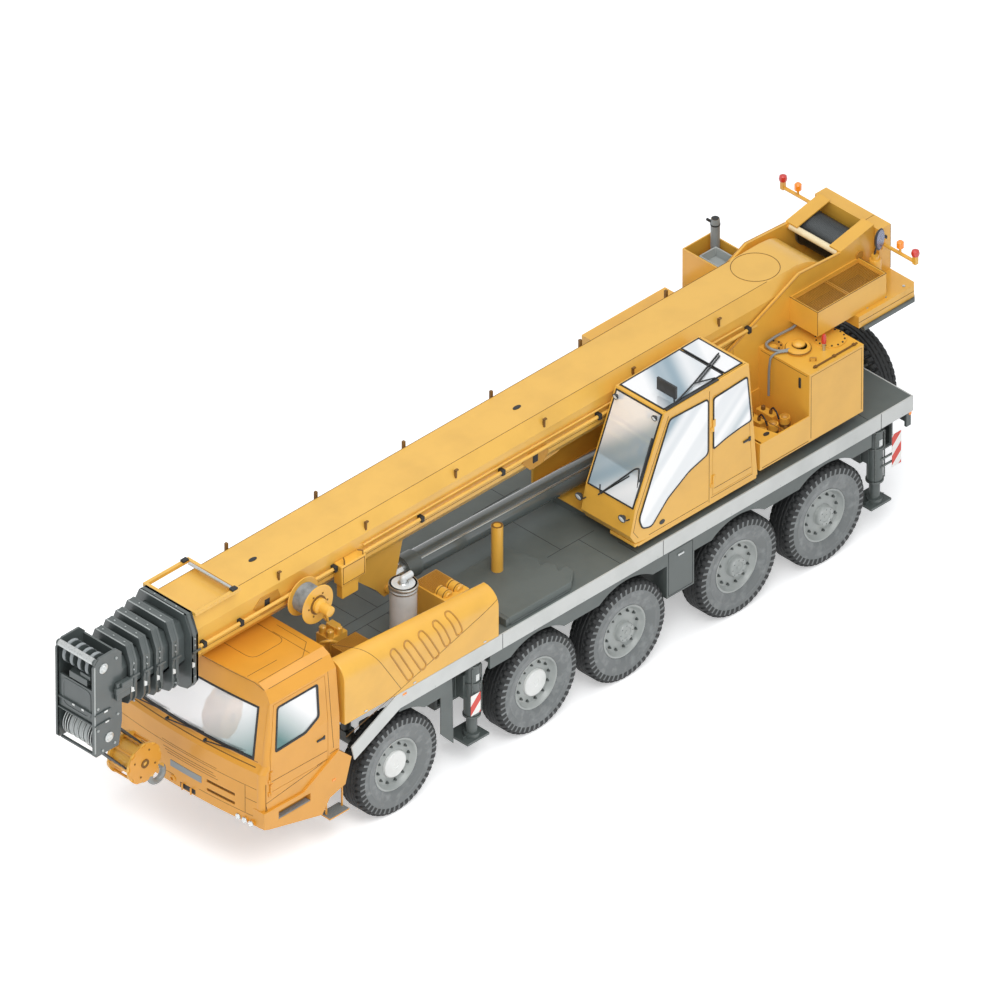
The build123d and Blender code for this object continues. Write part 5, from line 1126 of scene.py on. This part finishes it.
pipe_line = eased([(5.49, 0.455, 3.50), (5.45, 0.50, 3.51), (-4.85, 0.50, 3.51), (-4.90, 0.455, 3.50)], 0.03, 3)
port = oval(-5.33, 0.0, 0.33, 0.33, 40)
PLATE_OUTER = [(-0.25, -0.02), (-0.2, 0.12), (0.12, 0.13), (0.25, 0.02), (0.1, -0.15), (-0.15, -0.14)]
PLATE_INNER = [(-0.05, -0.02), (-0.05, 0.07), (0.05, 0.07), (0.05, 0.02), (0.05, -0.07), (-0.05, -0.07)]
left_hooks = [row for x in (3.965, 2.361, 0.70, -0.942, -2.6, -4.206)
              for row in ((x - 0.012, x + 0.012, 0.415, 0.45, 3.78, 3.90),
                          (x - 0.045, x + 0.012, 0.415, 0.45, 3.885, 3.905))]
right_hooks = [(x - 0.02, x + 0.02, -0.42, -0.38, 3.85, 4.02) for x in (4.10, 2.455, 0.832, -0.791, -2.45, -4.056)]
# Cable reel and control box on the boom's near side
REEL = (3.62, 0.0, 3.40)
REEL_FACE = 0.816
turns = np.arange(0.548, 0.80, 0.006)
cable = np.stack([0.20 + 0.008 * np.abs(np.cos(turns / 0.022 * np.pi)), turns], 1)
flanges = [turned([(0.03, y), (0.275, y), (0.285, y + 0.008), (0.275, y + 0.016), (0.03, y + 0.016)], REEL, "y")
           for y in (0.53, 0.80)]
dress(
    "boom_base",
    ("boom_pipe", BOOM_YELLOW, 0,
     [piped(pipe_line, 0.026), piped([(2.45, 0.478, 3.60), (-4.6, 0.478, 3.60)], 0.013, 8)]),
    ("boom_pipe_clamps", SEAL, 0.006, [slab(x - 0.03, x + 0.03, 0.448, 0.535, 3.465, 3.55)
                                       for x in (5.40, 4.72, 3.0, 1.4, -0.1, -1.9, -3.4, -4.7)]),
    # painted shade in the boom's seams, round its port and in its hooks
    ("boom_seams", SHADE_BROWN, 0, [
        *both(*lines("z", 3.961, [(5.54, 0.345), (-5.2, 0.345)]),
              *lines("z", 3.40, [(5.54, 0.451), (-4.9, 0.451)], radius=0.003)),
        *lines("z", 3.961, np.vstack([port, port[:1]]), radius=0.005)]),
    ("boom_hooks", SHADE_BROWN, 0.003, slabs(*left_hooks, *right_hooks)),
    ("boom_ports", SEAL, 0, [panel(oval(x, 0.05, 0.07, 0.035), "z", 3.958, 3.966) for x in (4.06, -0.82)]
     + slabs((4.16, 4.25, 0.452, 0.464, 3.47, 3.61), (-0.80, -0.71, 0.452, 0.464, 3.32, 3.46))),
    *[(f"boom_plate_{end}", OCHRE, 0.003,
       [hoop(np.add(PLATE_OUTER, middle), np.add(PLATE_INNER, middle), "y", 0.45, 0.462)])
      for end, middle in (("front", (4.20, 3.54)), ("rear", (-0.755, 3.39)))],
    ("guard_roller", STEEL, 0, [piped([(4.82, -0.36, 4.075), (4.82, 0.42, 4.075)], 0.022, 16)]),
    ("guard_pads", SEAL, 0.006, both(slab(4.76, 4.86, 0.42, 0.49, 4.06, 4.09))),
    ("reel_flanges", HOUSE_YELLOW, 0, [*flanges, turned([
        (0.0, REEL_FACE), (0.11, REEL_FACE), (0.11, 0.87), (0.075, 0.90), (0.075, 1.05), (0.06, 1.06), (0.0, 1.06)],
        REEL, "y", 32)]),
    ("reel_cable", CABLE_GREY, 0, [turned(cable, REEL, "y", 48, False)]),
    ("reel_core", SHADE_BROWN, 0, [
        band(REEL, "y", 0.10, 0.14, REEL_FACE, 0.826),
        *bolts_at(round_spots((3.62, REEL_FACE, 3.40), "y", 0.17, 6, np.pi / 2), "y", 0.014, 0.008)]),
    ("reel_bracket", HOUSE_YELLOW, 0.008, [
        slab(3.50, 3.74, 0.45, 0.53, 3.36, 3.44),
        piped(eased([(3.50, 0.84, 3.20), (3.46, 0.84, 3.06), (3.40, 0.70, 3.02), (3.38, 0.44, 3.12)], 0.05), 0.02, 8)]),
    ("control_box", HOUSE_YELLOW, 0.012,
     slabs((2.52, 2.97, 0.45, 0.60, 3.24, 3.56), (2.62, 2.92, 0.45, 0.56, 3.00, 3.24))),
    ("control_box_lines", SHADE_BROWN, 0, [
        *lines("y", 0.602, [(2.55, 3.27), (2.94, 3.27), (2.94, 3.53), (2.55, 3.53), (2.55, 3.27)], radius=0.005),
        *bars(0.01, 6, [(2.56, 0.58, 3.56), (2.56, 0.58, 3.62), (2.60, 0.52, 3.62)],
              [(2.90, 0.58, 3.56), (2.90, 0.58, 3.62), (2.86, 0.52, 3.62)])]),
)

# Lift cylinder: head gland and pipe
CYLINDER_FOOT = np.array([-3.675, 0.0, 2.25])
line = unit(np.array([1.725, 0.0, 2.40]) - CYLINDER_FOOT)
aside = np.array([0.0, 0.13, 0.13])
pipe = [CYLINDER_FOOT + line * run + aside * off for run, off in ((0.35, 0.85), (0.45, 1), (4.6, 1), (4.7, 0.88))]
dress(
    "lift_barrel",
    ("cylinder_gland", DARK_GREY, 0, [turned([
        (0.167, 4.72), (0.182, 4.72), (0.182, 4.96), (0.16, 4.965), (0.118, 4.965), (0.118, 4.94), (0.16, 4.93)],
        CYLINDER_FOOT, line)]),
    ("cylinder_pipe", STEEL, 0, [piped(pipe, 0.015, 8)]),
)

# Boom head: cross bar, sheaves, plates, ledges and bolts
UPPER_PIN = (7.095, 0.0, 3.90)
HOOK_PIN = np.array([7.0, 0.0, 2.76])
HEAD_SIDE = 0.355
SHEAVE = [(0.05, -0.012), (0.152, -0.016), (0.160, -0.026), (0.166, -0.026), (0.156, 0.0), (0.166, 0.026),
          (0.160, 0.026), (0.152, 0.016), (0.05, 0.012)]
SHEAVE_HUB = [(0.0, -0.034), (0.07, -0.034), (0.075, 0.0), (0.07, 0.034), (0.0, 0.034)]
ROPE_GUARD = [(0.10, -0.008), (0.222, -0.006), (0.226, 0.0), (0.222, 0.006), (0.10, 0.008)]
UPPER_YS = (-0.21, -0.07, 0.07, 0.21)
HEAD_BOLTS = [(7.12, 2.60), (6.90, 2.62), (6.86, 3.95), (7.20, 3.30), (7.20, 2.95), (6.84, 3.05)]


def row_of(profile, centre, ys, count):
    """The same turned form at several places along Y."""
    return [turned(np.add(profile, (0, y)), centre, "y", count, profile[0][0] > 0) for y in ys]


rim_shape = rounded([(-0.27, 3.09), (0.27, 3.09), (0.27, 3.54), (-0.27, 3.54)], 0.1)
rim_inside = rounded([(-0.235, 3.125), (0.235, 3.125), (0.235, 3.505), (-0.235, 3.505)], 0.08)
dress(
    "boom_section_5",
    ("head_bar", STEEL, 0, [boss((7.22, 0.0, 4.04), "y", [(0.047, -0.318), (0.047, 0.318)], 28)]),
    ("head_upper_sheaves", BOARD_GREY, 0, row_of(SHEAVE, UPPER_PIN, UPPER_YS, 40)),
    ("head_upper_hubs", CAP_WHITE, 0, row_of(SHEAVE_HUB, UPPER_PIN, UPPER_YS, 28)),
    ("head_lower_guards", STEEL, 0,
     row_of(ROPE_GUARD, HOOK_PIN, (-0.275, -0.235, -0.19, -0.09, 0.0, 0.09, 0.19, 0.235, 0.275), 44)),
    ("head_pins", STEEL, 0, both(*[
        boss((x, HEAD_SIDE, z), "y", [(0.075, -0.002), (0.075, 0.012), (0.05, 0.018), (0.045, 0.03)], 24)
        for x, z in ((7.095, 3.90), (7.0, 2.76))])),
    ("head_bolts", EDGE_GREY, 0,
     bolts_at([(x, way * HEAD_SIDE, z) for x, z in HEAD_BOLTS for way in WAYS], "y", 0.02, 0.014)),
    ("head_front_plate", BOOM_GREY, 0.005, [hoop(rim_shape, rim_inside, "x", 7.232, 7.242), *slabs(
        (7.20, 7.262, -0.325, 0.325, 3.20, 3.222), (7.20, 7.262, -0.325, 0.325, 3.03, 3.05),
        (6.97, 7.26, 0.355, 0.375, 3.20, 3.222), (6.97, 7.26, 0.355, 0.375, 3.03, 3.05),
        (6.97, 7.26, -0.375, -0.355, 3.20, 3.222), (7.10, 7.24, -0.13, 0.20, 3.60, 3.70),
        (7.05, 7.22, 0.05, 0.24, 3.70, 3.76), (7.20, 7.24, -0.30, 0.30, 2.545, 2.575))]),
    ("head_bracket", BOOM_GREY, 0.008, slabs((6.63, 6.93, 0.375, 0.43, 3.42, 3.50),
                                             (6.66, 6.90, 0.36, 0.41, 3.30, 3.56),
                                             (6.64, 6.84, 0.41, 0.45, 3.50, 3.57))),
    ("head_tabs", CAP_WHITE, 0, slabs(
        (7.262, 7.268, -0.05, -0.01, 3.198, 3.224), (7.262, 7.268, 0.12, 0.16, 3.198, 3.224),
        (7.04, 7.10, 0.375, 0.380, 3.198, 3.224), (7.02, 7.08, 0.375, 0.380, 3.028, 3.052))),
    ("head_side_ribs", EDGE_GREY, 0.004, both(slab(7.235, 7.262, 0.325, 0.357, 2.60, 3.98))),
)

# Hook block: toothed cheeks, ropes, sheave faces and hook
BLOCK = np.array([6.205, 0.0, 1.85])
down = unit(BLOCK - HOOK_PIN)
hang = np.linalg.norm(BLOCK - HOOK_PIN)
ahead = np.array([down[2], 0.0, -down[0]])
TEETH = 72
tooth = 0.302 - 0.034 * (np.arange(TEETH) % 8 < 3)
cheek = oval(BLOCK[0], BLOCK[2], tooth, tooth, TEETH)
ROPE_YS = (-0.135, -0.045, 0.045, 0.135)
falls = [ahead * swing + [0, y, 0] for y in ROPE_YS for swing in (-0.195, 0.195)]
sweep = np.radians(np.linspace(180, 450, 28))[:, None]
hook_path = HOOK_PIN + down * (hang + 0.62) + 0.12 * (np.cos(sweep) * down + np.sin(sweep) * ahead)
SHEAVE_FACE = [(0.09, -0.027), (0.19, -0.027), (0.217, -0.027), (0.217, 0.027), (0.19, 0.027), (0.09, 0.027)]
dress(
    "hook_block",
    ("block_cheeks", CAB_ORANGE, 0.003, both(panel(cheek, "y", 0.193, 0.206)) + bars(0.02, 8, *[
        [spot - [0, 0.17, 0], spot + [0, 0.17, 0]] for spot in round_spots(BLOCK, "y", 0.272, 8)])),
    ("block_centre", SHADE_BROWN, 0, both(band(BLOCK, "y", 0.034, 0.066, 0.204, 0.219, 28)) + bolts_at(
        [spot + [0, way * 0.205, 0] for spot in round_spots(BLOCK, "y", 0.20, 4, -0.4) for way in WAYS],
        "y", 0.014, 0.01)),
    ("hook_ropes", ROPE_DARK, 0, bars(0.0135, 8, *[[HOOK_PIN + fall, BLOCK + fall] for fall in falls])),
    ("pin_sheave_faces", EDGE_GREY, 0, row_of(SHEAVE_FACE, HOOK_PIN, ROPE_YS, 40)),
    ("hook_bar", HOOK_GREY, 0, [
        piped(hook_path, 0.0445, 14),
        boss(HOOK_PIN + down * (hang + 0.38), down, [(0.047, -0.01), (0.047, 0.118)], 20)]),
)

# Outriggers: boards, pipes and ribs. Each jack's X, then its board's shift, width, bottom and top.
JACKS = {
    ("front", "left"): (1.335, 0.045, 0.18, 0.85, 1.17), ("front", "right"): (1.695, 0.045, 0.18, 0.85, 1.17),
    ("rear", "left"): (-6.22, -0.29, 0.17, 0.92, 1.44), ("rear", "right"): (-6.52, 0.29, 0.17, 0.92, 1.44),
}
JACK_Y = 1.365
for (end, side), (x, shift, width, low, high) in JACKS.items():
    place = f"{end}_{side}"
    board_x = x + shift
    board = slab(board_x - width / 2, board_x + width / 2, 1.482, 1.49, low, high)
    fittings = [band((x, JACK_Y, 0.0), "z", 0.11, 0.124, z, z + 0.03) for z in (0.765, 1.30, 1.575)]
    fittings += bars(0.011, 8, *[[(x + dx, 1.46, 0.82), (x + dx, 1.46, 1.58)] for dx in (-0.085, 0.085)])
    fittings += slabs(*[(min(x, board_x), max(x, board_x), 1.468, 1.483, z, z + 0.03) for z in (1.0, 1.12)])
    hose = [piped([(x + 0.06, 1.30, 1.60), (x + 0.06, 1.42, 1.635), (x + 0.02, 1.45, 1.60)], 0.010, 8),
            slab(x - 0.03, x + 0.03, 1.455, 1.478, 1.36, 1.46)]
    ribs = slabs((x - 0.17, x + 0.17, 1.359, 1.371, 0.436, 0.47), (x - 0.006, x + 0.006, 1.20, 1.46, 0.436, 0.47))
    for body, name, material, bevel, parts in (
            ("beam", "board", STRIPES, 0.002, [board]), ("beam", "jack_fittings", CAST, 0, fittings),
            ("beam", "jack_lines", STEEL, 0, hose), ("jack", "foot_ribs", DARK_GREY, 0, ribs)):
        sided = parts if side == "left" else both(*parts)[len(parts):]
        make(f"{name}_{place}", sided, material, f"outrigger_{body}_{place}", bevel)


# Studio: a plain pale floor, soft lamps and an even pale background
FLOOR_HALF = 150.0
FLOOR_DEPTH = 0.02
FLOOR_LIFT = 0.42
FILL = 0.55
# each lamp's place, aim, size in metres and power in watts
STUDIO_LAMPS = {"key_lamp": ((9, 14, 20), (-1, 0, 1.5), 12, 2500),
                "top_lamp": ((-2, 2, 24), (-1, 0, 1.5), 18, 1700),
                "front_lamp": ((20, 2, 8), (0, 0, 1.5), 12, 400)}


def seen_rays(tree):
    """One for rays from the camera, in reflections and through glass, and nought for lighting rays."""
    path = add(tree, "ShaderNodeLightPath").outputs
    pair = add(tree, "ShaderNodeMath", [(path["Is Camera Ray"], 0), (path["Is Transmission Ray"], 1)],
               operation="MAXIMUM")
    return add(tree, "ShaderNodeMath", [(pair.outputs[0], 0), (path["Is Glossy Ray"], 1)],
               operation="MAXIMUM").outputs[0]


def studio_floor():
    """A wide floor that the camera and reflections see as white, with the object's shadow on it."""
    points, faces = slab(-FLOOR_HALF, FLOOR_HALF, -FLOOR_HALF, FLOOR_HALF, -FLOOR_DEPTH, 0.0)
    mesh = bpy.data.meshes.new("studio_floor")
    mesh.from_pydata(points.tolist(), [], faces)
    floor = bpy.data.objects.new("studio_floor", mesh)
    bpy.context.scene.collection.objects.link(floor)
    white = linear("FFFFFF")
    material, tree, shader = new_material("floor_paper", Base_Color=white, Roughness=1.0, Specular_IOR_Level=0.0,
                                          Emission_Color=white)
    lift = add(tree, "ShaderNodeMath", [(seen_rays(tree), 0)], operation="MULTIPLY")
    lift.inputs[1].default_value = FLOOR_LIFT
    tree.links.new(lift.outputs[0], shader.inputs["Emission Strength"])
    mesh.materials.append(material)
    floor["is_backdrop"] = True


studio_floor()
for name, (place, aim, size, power) in STUDIO_LAMPS.items():
    # a square soft lamp turned from its place to its aim
    data = bpy.data.lights.new(name, "AREA")
    data.size = size
    data.energy = power
    light = bpy.data.objects.new(name, data)
    bpy.context.scene.collection.objects.link(light)
    light.location = place
    light.rotation_euler = (Vector(aim) - Vector(place)).to_track_quat("-Z", "Y").to_euler()

world = bpy.data.worlds.new("studio")
bpy.context.scene.world = world
world.use_nodes = True
tree = world.node_tree
tree.nodes.clear()
fill = add(tree, "ShaderNodeBackground", Color=linear("F4F7FB"), Strength=FILL)
backdrop = add(tree, "ShaderNodeBackground", Color=linear("FFFFFF"), Strength=1.0)
chosen = add(tree, "ShaderNodeMixShader", [(seen_rays(tree), 0), (fill.outputs[0], 1), (backdrop.outputs[0], 2)])
add(tree, "ShaderNodeOutputWorld", [(chosen.outputs[0], "Surface")])
bpy.context.scene.view_settings.view_transform = "Standard"

camera = bpy.data.objects.new("camera", bpy.data.cameras.new("camera"))
bpy.context.scene.collection.objects.link(camera)
camera.data.lens = LENS
camera.data.sensor_width = SENSOR
camera.data.clip_start = NEAR
camera.data.clip_end = FAR
camera.location = VIEW_TARGET + VIEW_BACK * (LENS / SENSOR * PICTURE / PIXELS_PER_METRE)
camera.rotation_mode = "QUATERNION"
camera.rotation_quaternion = (-VIEW_BACK).to_track_quat("-Z", "Y")
bpy.context.scene.camera = camera

size = {"cad": [list(corner) for corner in cad_box], "visual": [list(corner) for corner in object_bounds()]}
